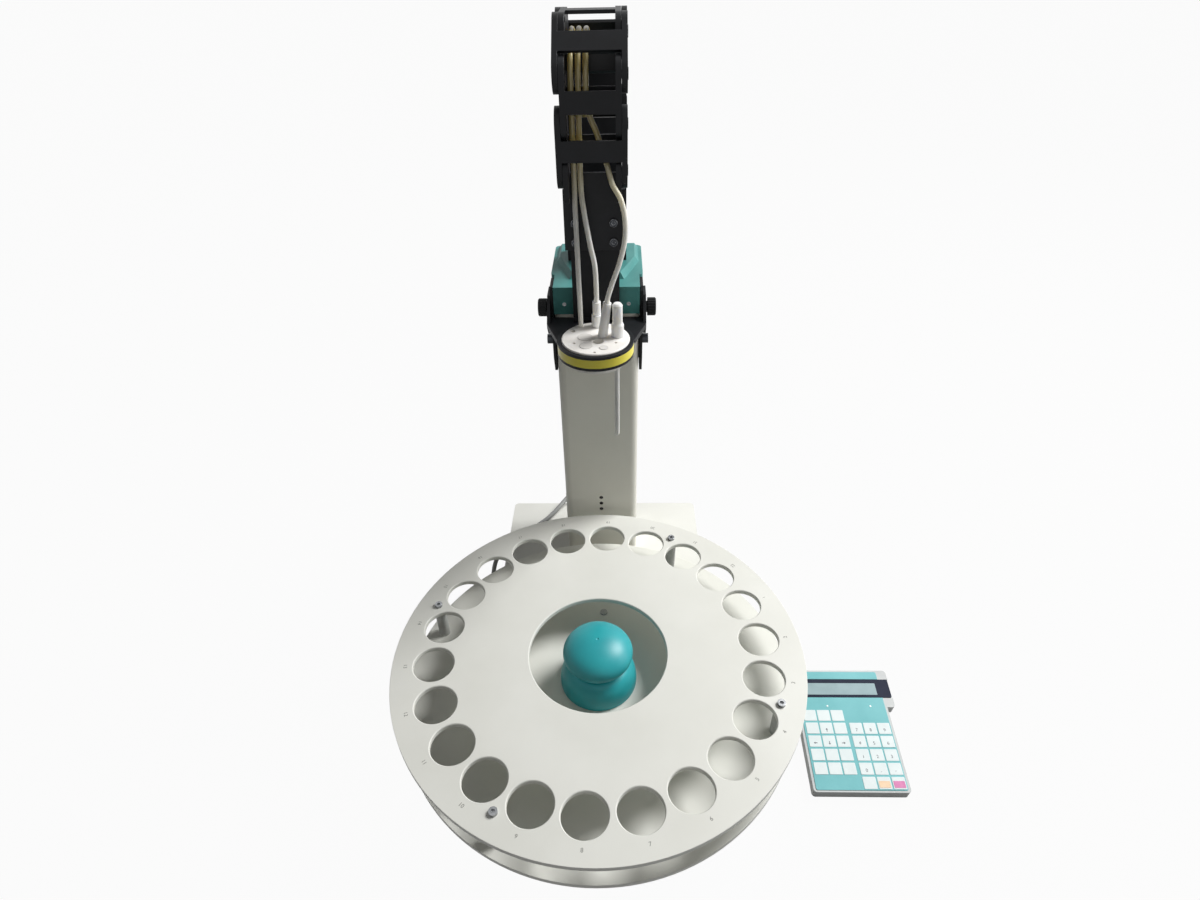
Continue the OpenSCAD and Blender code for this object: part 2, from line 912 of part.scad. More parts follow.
// Handle: flattened ball over a waist and a flared foot, hollow over the spigot
handle_top = rack_top + grip_rise;
grip_z = handle_top - grip_h/2;
waist_turn = acos(waist_d/grip_d);
waist_z = grip_z - grip_h/2*sin(waist_turn);
foot_rim = 5;
dimple_r = 3;
function grip_curve(steps) = [for (i = [1:steps])
    let (a = 90 - i*(90 + waist_turn)/steps)
    [grip_d/2*cos(a), grip_z + grip_h/2*sin(a)]];
function flare_curve(steps) = [for (i = [1:steps])
    let (a = i*90/steps)
    [waist_d/2 + (handle_foot_d - waist_d)/2*sin(a),
        rack_floor + foot_rim + (waist_z - rack_floor - foot_rim)*cos(a)]];
module rack_handle() {
    color(turquoise)
        difference() {
            rotate_extrude($fn = 96)
                polygon(concat([[0, handle_top]], grip_curve(32), flare_curve(12),
                    [[handle_foot_d/2, rack_floor], [0, rack_floor]]));
            translate([0, 0, handle_top + dimple_r*0.6])
                sphere(dimple_r);
            translate([0, 0, rack_floor - eps])
                cylinder(d = spigot_d + 2*seat_fit, h = spigot_h - plate_t + 1 + eps);
        }
}

// Carriage on the rods: block with bushes and nut, and a yoke that reaches out of the side slots
module lift_carriage() {
    carriage_z = carriage_top - carriage_h;
    block_rear = rod_y + rod_d/2 + bush_wall + 6;
    color(black_plastic)
        difference() {
            union() {
                translate([-carriage_w/2, yoke_front + yoke_d, carriage_z])
                    cube([carriage_w, block_rear - yoke_front - yoke_d, carriage_h]);
                translate([-arm_x, yoke_front, yoke_top - yoke_h])
                    cube([2*arm_x, yoke_d, yoke_h]);
            }
            at_rods()
                translate([0, 0, carriage_z - eps])
                    cylinder(d = rod_d + 2*bush_wall + 2*run_fit, h = carriage_h + 2*eps);
            translate([0, rod_y, carriage_z - eps])
                cylinder(d = nut_d + 2*run_fit, h = carriage_h + 2*eps);
            at_arm_screws()
                cylinder(d = arm_shank_d + 2*run_fit, h = arm_shank_l + eps);
        }
}

module rod_bushes() {
    color([0.70, 0.55, 0.25])
        at_rods()
            for (z = [carriage_top - carriage_h, carriage_top - 16])
                translate([0, 0, z])
                    tube(rod_d + 2*bush_wall, rod_d + 2*run_fit, 16);
}

nut_d = spindle_d + 10;
nut_flange_d = nut_d + 4;
nut_l = 24;
module spindle_nut() {
    color([0.70, 0.55, 0.25])
        translate([0, rod_y, carriage_top - carriage_h - 4])
            difference() {
                union() {
                    cylinder(d = nut_flange_d, h = 4);
                    cylinder(d = nut_d, h = nut_l);
                }
                translate([0, 0, -eps])
                    cylinder(d = spindle_d + 2*run_fit, h = nut_l + 2*eps);
            }
}

// Arms beside the tower, screwed to the yoke, with a stud hole for the clamp knobs
arm_front = tower_front + 3;
arm_w = 27;
arm_toe_w = 8;
arm_toe_h = 20;
arm_cut = 4;
arm_rear = arm_front + arm_w;
arm_screw_drop = 15;
arm_screw_z = yoke_top - arm_screw_drop;
arm_screw_d = 10.6;
module lift_arms() {
    color(black_plastic)
        both_sides()
            difference() {
                side_plate(arm_x, arm_t)
                    polygon([[arm_front + arm_toe_w, arm_bottom], [arm_rear, arm_bottom], [arm_rear, arm_top],
                        [arm_front + arm_cut, arm_top], [arm_front, arm_top - arm_cut],
                        [arm_front, arm_bottom + arm_toe_h]]);
                translate([arm_x - eps, knob_y, knob_z])
                    rotate([0, 90, 0])
                        cylinder(d = stud_d + 2*run_fit, h = arm_t + 2*eps);
                at_arm_screws()
                    cylinder(d = arm_shank_d + 2*run_fit, h = arm_t + eps);
            }
}

// Places of the screws that hold the chain bracket on its plate, seen along the screws
bracket_back_t = 4;
back_y = chain_plate_y - bracket_back_t;
back_drop = 78;
back_z = pivot_z - back_drop;
ear_l = 16;
plate_screw_d = 4;
screw_x = 18.5;
screw_rows = [8, 27];
module at_plate_screws() {
    for (x = [-1, 1], z = screw_rows)
        translate([x*screw_x, back_y, back_z + z])
            rotate([-90, 0, 0])
                children();
}

// Screw with a hexagon socket, its head below z = 0
module socket_screw(head_d, head_h, shank_d, shank_l) {
    difference() {
        union() {
            translate([0, 0, -head_h])
                cylinder(d = head_d, h = head_h);
            cylinder(d = shank_d, h = shank_l);
        }
        translate([0, 0, -head_h - eps])
            cylinder(d = head_d/2, h = head_h/2 + eps, $fn = 6);
    }
}

// Arm screws in the yoke, and the screws of the chain bracket
arm_shank_d = 5;
arm_shank_l = 10;
module at_arm_screws() {
    both_sides()
        translate([flange_x, yoke_front + yoke_d/2, arm_screw_z])
            rotate([0, -90, 0])
                children();
}

module bracket_screws() {
    color(black_plastic) {
        at_arm_screws()
            socket_screw(arm_screw_d, 6.5, arm_shank_d, arm_shank_l);
        at_plate_screws()
            socket_screw(7.5, 2.4, plate_screw_d, bracket_back_t + chain_plate_t - 1);
    }
}

// Head bracket: ring for the titration head, web back to the tower, flanges outside the arms
web_front_y = head_y;
web_rear = tower_front - 1;
flange_bottom = tower_top - 19;
flange_top = tower_top + 19;
web_half = flange_x + arm_t;
band_h = ring_h - 6;
band_t = 0.6;
module ring_groove(r0, r1) {
    translate([0, head_y, ring_z + (ring_h - band_h)/2])
        rotate(172)
            rotate_extrude(angle = 196, $fn = 96)
                translate([r0, 0])
                    square([r1 - r0, band_h]);
}

module head_bracket() {
    color(black_plastic) {
        difference() {
            union() {
                translate([0, head_y, ring_z])
                    cylinder(d = ring_d, h = ring_h, $fn = 96);
                translate([0, 0, bracket_top - bracket_t])
                    linear_extrude(bracket_t)
                        polygon([[-ring_d/2, web_front_y], [ring_d/2, web_front_y], [web_half, web_rear - 15],
                            [web_half, web_rear], [-web_half, web_rear], [-web_half, web_rear - 15]]);
            }
            translate([0, head_y, ring_z + lip_h])
                cylinder(d = head_d + 2*seat_fit, h = ring_h, $fn = 96);
            translate([0, head_y, ring_z - eps])
                cylinder(d = head_d - 2*lip_h + 2*seat_fit, h = ring_h, $fn = 96);
            ring_groove(ring_d/2 - band_t, ring_d/2 + eps);
        }
        both_sides()
            difference() {
                side_plate(flange_x, arm_t)
                    polygon([[web_rear - 15, bracket_top - bracket_t], [web_rear - 6, flange_bottom],
                        [arm_rear - 2, flange_bottom], [arm_rear - 2, flange_top],
                        [arm_front + 2, flange_top], [web_rear - 15, bracket_top]]);
                translate([flange_x - eps, knob_y, knob_z])
                    rotate([0, 90, 0])
                        cylinder(d = stud_d + 2*run_fit, h = arm_t + 2*eps);
            }
    }
}

module label_band() {
    color(yellow_label)
        ring_groove(ring_d/2 - band_t + run_fit, ring_d/2);
}

// Titration head: stepped disc with bores for stoppers, screws and hoses
// Each stopper: place from the head's centre and diameter
stopper_list = [[-10.5, 1.5, 15], [-9, -16.5, 13], [8.5, -20.5, 9]];
open_hole = [2.5, -7.5, 11];
vent_hole = [-23, 14.5, 5];
screw_hole_list = [[-0.5, -29.5], [-21, -11], [20, -10.5]];
left_hose_at = [-15.5, 25];
dip_at = [21, -8];
stopper_depth = 9;
stopper_rise = 0.4;
head_edge = 0.8;
module at_head(place) {
    translate([place[0], head_y + place[1], 0])
        children();
}

module titration_head() {
    color(natural_plastic)
        difference() {
            union() {
                translate([0, head_y, ring_z + lip_h])
                    cylinder(d = head_d, h = head_top - head_edge - ring_z - lip_h, $fn = 96);
                translate([0, head_y, head_top - head_edge])
                    cylinder(d1 = head_d, d2 = head_d - 2*head_edge, h = head_edge, $fn = 96);
                translate([0, head_y, ring_z - plug_drop])
                    cylinder(d = head_d - 2*lip_h, h = plug_drop + lip_h + eps, $fn = 96);
            }
            for (s = stopper_list)
                at_head(s)
                    translate([0, 0, head_top - stopper_depth])
                        cylinder(d = s[2], h = stopper_depth + eps);
            for (s = [open_hole, vent_hole])
                at_head(s)
                    translate([0, 0, ring_z - plug_drop - eps])
                        cylinder(d = s[2], h = head_top - ring_z + plug_drop + 2*eps);
            for (s = screw_hole_list)
                at_head(s)
                    translate([0, 0, head_top - 7])
                        cylinder(d = 3.2, h = 7 + eps);
            at_head(left_hose_at)
                translate([0, 0, head_top - 7])
                    cylinder(d = hose_d + 2*seat_fit, h = 7 + eps);
            at_head(dip_at)
                translate([0, 0, ring_z - plug_drop - eps])
                    cylinder(d = hose_d + 2*run_fit, h = 8 + eps);
        }
}

module head_stoppers() {
    color(natural_plastic)
        for (s = stopper_list)
            at_head(s)
                translate([0, 0, head_top - stopper_depth]) {
                    cylinder(d = s[2] - 4*run_fit, h = stopper_depth + stopper_rise);
                }
}

// Hose fittings on the head: a nut, a leaning union and a stepped nipple
nut_at = [1, 25];
union_at = [7, 4];
nipple_at = [21.8, 4];
union_lean = 8;
union_h = 36;
nut_low_h = 13;
nut_high_h = 14;
module hose_fittings() {
    color(natural_plastic)
        translate([0, 0, head_top]) {
            at_head(nut_at) {
                cylinder(d = 10.6, h = nut_low_h);
                translate([0, 0, nut_low_h])
                    cylinder(d = 8.4, h = nut_high_h);
            }
            at_head(union_at)
                intersection() {
                    rotate([0, union_lean, 0])
                        translate([0, 0, -4])
                            cylinder(d1 = 10.2, d2 = 8.2, h = union_h + 4);
                    translate([-20, -20, 0])
                        cube([60, 40, 60]);
                }
            at_head(nipple_at) {
                cylinder(d = 12.6, h = 12);
                translate([0, 0, 12])
                    cylinder(d1 = 12.6, d2 = 10, h = 3);
                translate([0, 0, 15])
                    cylinder(d = 10, h = 18);
                translate([0, 0, 33])
                    cylinder(d1 = 10, d2 = 7, h = 2);
            }
        }
}

module dip_tube() {
    dip_bottom = ring_z - plug_drop - dip_len;
    color(hose_cream)
        at_head(dip_at)
            translate([0, 0, dip_bottom])
                difference() {
                    cylinder(d = hose_d, h = dip_len + 7);
                    translate([0, 0, -eps])
                        cylinder(d = hose_d - 2, h = dip_len + 6);
                    translate([-hose_d/2, -hose_d, 0])
                        rotate([0, -35, 0])
                            translate([0, 0, -2*hose_d])
                                cube([3*hose_d, 2*hose_d, 2*hose_d]);
                }
}

// Clamp knobs: ribbed head on a stud through the flange and the arm
knob_neck = 1.5;
knob_ribs = 20;
knob_gap = 0.3;
stud_short = 0.8;
module clamp_knob() {
    color(black_plastic)
        translate([flange_x + arm_t + knob_gap, knob_y, knob_z])
            rotate([0, 90, 0]) {
                translate([0, 0, stud_short - 2*arm_t - knob_gap])
                    cylinder(d = stud_d, h = 2*arm_t + 1 - stud_short);
                cylinder(d = knob_d - 7, h = knob_neck + eps);
                translate([0, 0, knob_neck])
                    difference() {
                        union() {
                            cylinder(d = knob_d, h = knob_len - 1);
                            translate([0, 0, knob_len - 1])
                                cylinder(d1 = knob_d, d2 = knob_d - 2, h = 1);
                        }
                        for (i = [0:knob_ribs - 1])
                            rotate(i*360/knob_ribs)
                                translate([knob_d/2 + 0.5, 0, -eps])
                                    cylinder(d = 2.2, h = knob_len + 2*eps, $fn = 16);
                    }
            }
}

module clamp_knob_left() {
    mirror([1, 0, 0])
        clamp_knob();
}

module clamp_knob_right() {
    clamp_knob();
}

// Plate that carries the chain's moving end, with a foot on the bracket's web
chain_foot = 5;
module chain_plate() {
    color(black_plastic)
        difference() {
            translate([-chain_plate_w/2, 0, bracket_top]) {
                translate([0, chain_plate_y, 0])
                    cube([chain_plate_w, chain_plate_t, chain_plate_h]);
                translate([0, chain_plate_y - chain_foot, 0])
                    cube([chain_plate_w, chain_foot + eps, 3]);
            }
            at_plate_screws()
                cylinder(d = plate_screw_d + 2*run_fit, h = bracket_back_t + chain_plate_t + eps);
        }
}

// Outline of a link's side plate between two pivots
module link_outline(length) {
    circle(d = link_h);
    translate([length, 0])
        circle(d = link_h);
    translate([0, -link_h/2])
        square([length, link_h]);
}

// Stops of the chain: lugs on the outer plates run in curved slots of the inner ones
stop_r = 9.5;
lug_d = 4;
lug_gap = 0.4;
lug_short = 0.5;
stop_turn = 25;
slot_turn = stop_turn + asin((lug_d/2 + lug_gap)/stop_r);
module stop_slot() {
    reach = 2*stop_r*[sin(slot_turn), cos(slot_turn)];
    intersection() {
        difference() {
            circle(stop_r + lug_d/2 + lug_gap);
            circle(stop_r - lug_d/2 - lug_gap);
        }
        polygon([[0, 0], reach, [0, 2*stop_r], [-reach[0], reach[1]]]);
    }
}

// Lug at a turn from straight out, on the inside of the outer plates
module stop_lug(turn) {
    both_sides()
        translate([inner_x + lug_short, stop_r*sin(turn), stop_r*cos(turn)])
            rotate([0, 90, 0])
                cylinder(d = lug_d, h = outer_x - inner_x - lug_short + link_t/2);
}

// Side plates of the chain's fixed ends, drawn down from the pivot and cut off square
module end_ears(x, length, cut) {
    intersection() {
        both_sides()
            side_plate(x, link_t)
                rotate(-90)
                    link_outline(length);
        translate([-chain_w, -link_h, -cut])
            cube([2*chain_w, 2*link_h, cut + link_h]);
    }
}

// Moving end: ears with bores and stop slots, and a back plate screwed to the chain plate
ear_drop = 10;
back_wide_h = 58;
back_h = 73;
module chain_bracket() {
    color(black_plastic) {
        translate([0, chain_y, pivot_z])
            difference() {
                end_ears(inner_x, ear_l, ear_l + ear_drop);
                both_sides()
                    side_plate(inner_x - eps, link_t + 2*eps)
                        rotate(link_angle[0]) {
                            circle(d = pin_d + 2*run_fit);
                            stop_slot();
                        }
            }
        difference() {
            union() {
                translate([-outer_x - link_t/2, back_y, back_z])
                    cube([2*outer_x + link_t, bracket_back_t, back_wide_h]);
                translate([-inner_x - link_t, back_y, back_z])
                    cube([2*inner_x + 2*link_t, bracket_back_t, back_h]);
            }
            at_plate_screws()
                translate([0, 0, -eps])
                    cylinder(d = plate_screw_d + 2*run_fit, h = bracket_back_t + 2*eps);
        }
    }
}

// Fixed end on the cap: ears on a base plate with a window for the hoses
module chain_anchor() {
    anchor_h = anchor_pivot[1] - platform_top;
    color(black_plastic)
        translate([0, anchor_pivot[0], anchor_pivot[1]]) {
            end_ears(outer_x, anchor_h, anchor_h);
            difference() {
                translate([-chain_w/2, -link_h/2 + 3, -anchor_h])
                    cube([chain_w, link_h - 6, 4]);
                translate([-chain_w/2 + 8, -5, -anchor_h - eps])
                    cube([chain_w - 16, 10, 4 + 2*eps]);
            }
        }
}

// One link: side plates, a broad bar on the outside of the bend and a narrow one inside
bar_w = 18;
back_bar_w = 16;
bar_t = 3;
module chain_link(i, outer) {
    x = outer ? outer_x : inner_x;
    at = pivot(i);
    color(black_plastic)
        translate([0, at[0], at[1]])
            rotate([link_angle[i], 0, 0]) {
                both_sides()
                    side_plate(x, link_t)
                        difference() {
                            link_outline(link_pitch);
                            if (!outer)
                                for (u = [0, link_pitch])
                                    translate([u, 0]) {
                                        circle(d = pin_d + 2*run_fit);
                                        stop_slot();
                                    }
                        }
                if (outer)
                    both_sides()
                        for (u = [0, link_pitch])
                            translate([inner_x, u, 0])
                                rotate([0, 90, 0])
                                    cylinder(d = pin_d, h = outer_x - inner_x + link_t/2);
                if (outer) {
                    stop_lug(-stop_turn);
                    translate([0, link_pitch, 0])
                        stop_lug(stop_turn);
                }
                translate([-x - link_t/2, link_pitch/2 - bar_w/2, link_h/2 - bar_t])
                    cube([2*x + link_t, bar_w, bar_t]);
                translate([-x - link_t/2, link_pitch/2 - back_bar_w/2, -link_h/2])
                    cube([2*x + link_t, back_bar_w, bar_t]);
            }
}

// The first two links stay straight on the lift, the other six bend as it travels
module front_links() {
    for (i = [0:1])
        chain_link(i, i == 0);
}

module chain_link_1() {
    chain_link(2, true);
}

module chain_link_2() {
    chain_link(3, false);
}

module chain_link_3() {
    chain_link(4, true);
}

module chain_link_4() {
    chain_link(5, false);
}

module chain_link_5() {
    chain_link(6, true);
}

module chain_link_6() {
    chain_link(7, false);
}

// A tube swept along a route: rings turned with the route, closed at both ends
function unit(v) = v/norm(v);
function tangents(p) = [for (i = [0:len(p) - 1])
    unit(p[min(i + 1, len(p) - 1)] - p[max(i - 1, 0)])];
function upright(u, t) = unit(u - (u*t)*t);
function ring_normals(t, first) = [for (i = 0, u = upright(first, t[0]); i < len(t);
    i = i + 1, u = i < len(t) ? upright(u, t[i]) : u) u];
function smooth(a, b, c, d, t) = 0.5*(2*b + (c - a)*t + (2*a - 5*b + 4*c - d)*t*t
    + (3*b - 3*c + d - a)*t*t*t);
function spline(p, n) = concat([for (i = [0:len(p) - 2], k = [0:n - 1])
    smooth(p[max(i - 1, 0)], p[i], p[i + 1], p[min(i + 2, len(p) - 1)], k/n)], [p[len(p) - 1]]);

module swept_tube(path, d, sides) {
    t = tangents(path);
    u = ring_normals(t, [1, 0.2, 0.1]);
    n = len(path);
    rings = [for (i = [0:n - 1], k = [0:sides - 1])
        let (w = cross(t[i], u[i]))
        path[i] + d/2*(cos(k*360/sides)*u[i] + sin(k*360/sides)*w)];
    walls = [for (i = [0:n - 2], k = [0:sides - 1])
        let (a = i*sides + k, b = i*sides + (k + 1)%sides)
        each [[a, a + sides, b], [b, a + sides, b + sides]]];
    start_cap = [for (k = [1:sides - 2]) [0, k, k + 1]];
    last = (n - 1)*sides;
    end_cap = [for (k = [1:sides - 2]) [last, last + k + 1, last + k]];
    polyhedron(points = rings, faces = concat(walls, start_cap, end_cap));
}

// Hoses: points from the head's top centre up to the chain's front run, chosen by hand
hose_x = [-17, -10.5, -4];
left_route = [[-15.5, 25, -5.5], [-15.5, 25, 14], [-16, 27, 45], [-16.5, 30, 80], [-17, 32, 112],
    [-17, 32, 150], [-17, 32, 180]];
middle_route = [[1, 25, 27.2], [1, 25.1, 42], [0, 27, 64], [-4, 29, 84], [-8, 31, 108], [-11, 32, 134],
    [-11, 32, 164], [-11, 32, 186]];
right_route = [[12, 4, 35.9], [12.7, 4.1, 41], [17, 5, 55], [24, 8, 74], [29, 11, 95], [29, 12, 115],
    [25, 12, 132], [18.5, 14, 143], [15.5, 19, 151], [13, 24, 159], [9, 29, 170], [4, 32, 184],
    [-1, 32, 196]];
bend_r = (anchor_pivot[0] - chain_y)/2;
bend_z = pivot(2)[1] - link_pitch/2;
function hose_over(x) = concat([for (i = [0:10]) let (a = 180 - 18*i)
    [x, chain_y + bend_r + bend_r*cos(a), bend_z + bend_r*sin(a)]],
    [for (i = [1:8]) [x, anchor_pivot[0], bend_z - i*(bend_z - cap_top - 2)/8]]);
module hoses() {
    routes = [left_route, middle_route, right_route];
    color(hose_cream)
        for (i = [0:2])
            swept_tube(concat(spline([for (p = routes[i]) p + [0, head_y, head_top]], 2),
                hose_over(hose_x[i])), hose_d, 8);
}

// Keypad: tray and cover in one tilted outline, wider at the display
module keypad_frame() {
    translate([keypad_x, keypad_y, 0.6])
        rotate([keypad_tilt, 0, 0])
            children();
}

keypad_r = 4;
module keypad_plan() {
    translate([0, keypad_l/2])
        round_rect(key_w, keypad_l, keypad_r);
    translate([0, keypad_l - display_l/2])
        round_rect(display_w, display_l, keypad_r);
}

pad_d = 10;
module keypad_bottom() {
    rear_pad_y = keypad_l - 14;
    front_pad_y = 12;
    color(white_paint) {
        keypad_frame()
            linear_extrude(tray_t)
                keypad_plan();
        for (x = [-1, 1]) {
            translate([keypad_x + x*(display_w/2 - 14), keypad_y + rear_pad_y*cos(keypad_tilt), 0])
                cylinder(d = pad_d, h = rear_pad_y*sin(keypad_tilt) + tray_t/2);
            translate([keypad_x + x*(key_w/2 - 12), keypad_y + front_pad_y, 0])
                cylinder(d = pad_d, h = front_pad_y*sin(keypad_tilt) + tray_t/2);
        }
    }
}

module keypad_top() {
    color(white_paint)
        keypad_frame()
            translate([0, 0, tray_t])
                difference() {
                    linear_extrude(keypad_t - tray_t)
                        keypad_plan();
                    translate([0, keypad_l - display_l/2, keypad_t - tray_t - window_t])
                        linear_extrude(window_t + eps)
                            square([display_w + 2*eps, window_l + 2*seat_fit], center = true);
                }
}

// Printed foil, parted by the window's band
foil_margin = 3;
foil_end = 2.2;
module keypad_foil() {
    color(turquoise)
        keypad_frame()
            translate([0, 0, keypad_t])
                linear_extrude(foil_t)
                    difference() {
                        translate([0, keypad_l/2])
                            round_rect(key_w - 2*foil_margin, keypad_l - 2*foil_end, 2);
                        translate([0, keypad_l - display_l/2])
                            square([display_w, window_l + 2*seat_fit], center = true);
                    }
}

window_w = display_w - 2;
window_l = 23.5;
window_t = 3;
module display_window() {
    color(dark_window)
        keypad_frame()
            translate([0, keypad_l - display_l/2, keypad_t - window_t])
                linear_extrude(window_t + foil_t)
                    round_rect(window_w, window_l, 2);
}

// Keypad cable: from the tower's back, over the deck, under the base on the bench, to the keypad
cable_route = [[-5, 324.2, 110], [-5, 328, 110], [-5, 332, 110], [-7, 341, 109.5], [-13, 349, 109],
    [-21, 354, 108], [-31, 356, 106.5], [-41, 354, 104.5], [-50, 347.5, 102], [-58, 338, 99],
    [-67, 325, 95.5], [-79, 311, 91], [-92, 298, 89], [-106, 284, 89], [-119, 271, 89.5],
    [-131, 258, 90.5], [-142, 246, 86], [-150, 236, 73], [-154, 228, 55], [-157, 218, 36],
    [-159, 205, 20], [-161, 188, 8], [-163, 166, 3.5], [-163, 142, 3.2], [-158, 118, 3.2],
    [-144, 97, 3.2], [-122, 81, 3.2], [-92, 70, 3.2], [-45, 63, 3.2], [15, 60, 3.2], [75, 59, 3.2],
    [130, 58.2, 3.2], [158, 58, 3.2], [171.4, 58, 4.3], [184.8, 58, 12], [198.2, 58, 19.7],
    [206, 58, 20.8], [211, 58, 20.8], [216, 58, 20.8]];
module keypad_cable() {
    color([0.62, 0.62, 0.60])
        swept_tube(spline(cable_route, 2), cable_d, 8);
}

// Strain reliefs where the cable leaves the tower and enters the keypad
module cable_boots() {
    boot_from = cable_route[0];
    boot_to = cable_route[len(cable_route) - 1];
    color([0.30, 0.30, 0.30]) {
        translate([cable_exit[0], tower_rear, cable_exit[1]])
            rotate([-90, 0, 0])
                cylinder(d1 = boot_d, d2 = cable_d + 1.5, h = boot_from[1] - tower_rear);
        translate([boot_to[0], boot_to[1], boot_to[2]])
            rotate([0, 90, 0])
                cylinder(d1 = cable_d + 1.5, d2 = boot_d, h = keypad_x - display_w/2 - boot_to[0]);
    }
}

base_housing();
base_plate();
base_feet();
rear_panel();
mains_inlet();
power_rocker();
interface_sockets();
turntable_bearing();
turntable_motor();
motor_pulley();
drive_belt();
circuit_board();
transformer();
tower_column();
tower_back();
tower_cap();
sensor_windows();
rod_plates();
guide_rods();
spindle_bearings();
lift_spindle();
lift_motor();
chain_anchor();
turntable_disc();
turntable_shaft();
driven_pulley();
rack_lower_plate();
rack_upper_plate();
rack_posts();
rack_screws();
rack_handle();
lift_carriage();
rod_bushes();
spindle_nut();
lift_arms();
bracket_screws();
head_bracket();
label_band();
titration_head();
head_stoppers();
hose_fittings();
dip_tube();
clamp_knob_left();
clamp_knob_right();
chain_plate();
chain_bracket();
front_links();
chain_link_1();
chain_link_2();
chain_link_3();
chain_link_4();
chain_link_5();
chain_link_6();
hoses();
keypad_bottom();
keypad_top();
keypad_foil();
display_window();
keypad_cable();
cable_boots();
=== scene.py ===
import json
import math

import bmesh
import bpy
from mathutils import Matrix, Vector


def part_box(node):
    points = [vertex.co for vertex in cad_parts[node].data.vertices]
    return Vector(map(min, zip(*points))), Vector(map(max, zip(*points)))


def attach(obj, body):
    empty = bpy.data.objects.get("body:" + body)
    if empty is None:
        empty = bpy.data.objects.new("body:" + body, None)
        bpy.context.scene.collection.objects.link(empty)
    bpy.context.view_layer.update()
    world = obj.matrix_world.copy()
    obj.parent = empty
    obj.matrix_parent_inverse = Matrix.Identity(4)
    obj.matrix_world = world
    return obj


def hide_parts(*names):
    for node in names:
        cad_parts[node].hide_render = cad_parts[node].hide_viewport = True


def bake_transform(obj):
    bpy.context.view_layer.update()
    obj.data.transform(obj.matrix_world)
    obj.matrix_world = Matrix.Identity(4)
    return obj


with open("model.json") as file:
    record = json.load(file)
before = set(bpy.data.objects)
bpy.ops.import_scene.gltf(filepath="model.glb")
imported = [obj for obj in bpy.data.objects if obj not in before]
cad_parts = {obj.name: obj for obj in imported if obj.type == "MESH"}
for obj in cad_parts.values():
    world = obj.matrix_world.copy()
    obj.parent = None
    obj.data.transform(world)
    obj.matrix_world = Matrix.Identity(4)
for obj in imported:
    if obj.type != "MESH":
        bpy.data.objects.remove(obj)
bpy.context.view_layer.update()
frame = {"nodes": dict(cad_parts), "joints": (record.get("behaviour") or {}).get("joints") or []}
nodes = frame["nodes"]
scene = bpy.context.scene

# Camera
# A pinhole at the place from which the photograph was taken, looking down on the rack and the tower.
# The photograph's frame is 1200 by 900 with the lens axis in its middle.
photo_width = 1200
focal_pixels = 717.74
eye = Vector((0.0227, -0.4687, 0.7934))
dip, yaw, roll = (math.radians(angle) for angle in (36.69, -1.89, -1.39))
forward = Vector((math.sin(yaw)*math.cos(dip), math.cos(yaw)*math.cos(dip), -math.sin(dip)))
level_right = Vector((math.cos(yaw), -math.sin(yaw), 0))
level_up = level_right.cross(forward)
right = math.cos(roll)*level_right + math.sin(roll)*level_up
up = math.cos(roll)*level_up - math.sin(roll)*level_right
lens = bpy.data.cameras.new("photo_camera")
lens.sensor_width = 36
lens.lens = focal_pixels/photo_width*lens.sensor_width
photo_camera = bpy.data.objects.new("photo_camera", lens)
photo_camera.matrix_world = Matrix((right, up, -forward)).transposed().to_4x4()
photo_camera.location = eye
scene.collection.objects.link(photo_camera)
scene.camera = photo_camera
scene.view_settings.view_transform = "Standard"


# Studio
# A pale bench top under a large soft lamp above the right rear, with weaker ones at the right and the front.
# Bench and surroundings read as white to the camera, to metal and to glass, and keep a soft shadow.
def feed(tree, socket, value):
    """Gives a node's input a plain value, or links it to the output socket that feeds it."""
    if isinstance(value, bpy.types.NodeSocket):
        tree.links.new(value, socket)
    else:
        socket.default_value = value


def lay(tree, kind, **inputs):
    """Adds a node to a tree. Each input is a plain value or the output socket that feeds it."""
    made = tree.nodes.new(kind)
    for label, value in inputs.items():
        feed(tree, made.inputs[label.replace("_", " ")], value)
    return made


def reckon(tree, operation, first, second):
    """The result of a sum of two values or sockets, such as MULTIPLY."""
    made = tree.nodes.new("ShaderNodeMath")
    made.operation = operation
    feed(tree, made.inputs[0], first)
    feed(tree, made.inputs[1], second)
    return made.outputs["Value"]


def seen_directly(tree):
    """One where a ray comes from the camera, a mirror or glass, and nought for light that bounces."""
    path = tree.nodes.new("ShaderNodeLightPath").outputs
    mirrored = reckon(tree, "MAXIMUM", path["Is Camera Ray"], path["Is Glossy Ray"])
    return reckon(tree, "MAXIMUM", mirrored, path["Is Transmission Ray"])


def object_from(name, build):
    """A linked mesh object whose mesh is filled by build, a function that takes a bmesh."""
    shape = bmesh.new()
    build(shape)
    mesh = bpy.data.meshes.new(name)
    shape.to_mesh(mesh)
    shape.free()
    made = bpy.data.objects.new(name, mesh)
    scene.collection.objects.link(made)
    return made


bench_half = 20.0
bench_white = 0.96
bench_colour = (0.24, 0.24, 0.235, 1)
bench = object_from("bench_top", lambda shape: bmesh.ops.create_grid(
    shape, x_segments=2, y_segments=2, size=bench_half))
bench_finish = bpy.data.materials.new("bench_finish")
bench_finish.use_nodes = True
bench_tree = bench_finish.node_tree
bench_tree.nodes.clear()
bench_lit = lay(bench_tree, "ShaderNodeBsdfDiffuse", Color=bench_colour)
bench_glow = lay(bench_tree, "ShaderNodeEmission", Strength=1.0)
bench_share = reckon(bench_tree, "MULTIPLY", seen_directly(bench_tree), bench_white)
bench_mix = lay(bench_tree, "ShaderNodeMixShader", Fac=bench_share)
bench_tree.links.new(bench_lit.outputs["BSDF"], bench_mix.inputs[1])
bench_tree.links.new(bench_glow.outputs["Emission"], bench_mix.inputs[2])
lay(bench_tree, "ShaderNodeOutputMaterial", Surface=bench_mix.outputs["Shader"])
bench.data.materials.append(bench_finish)

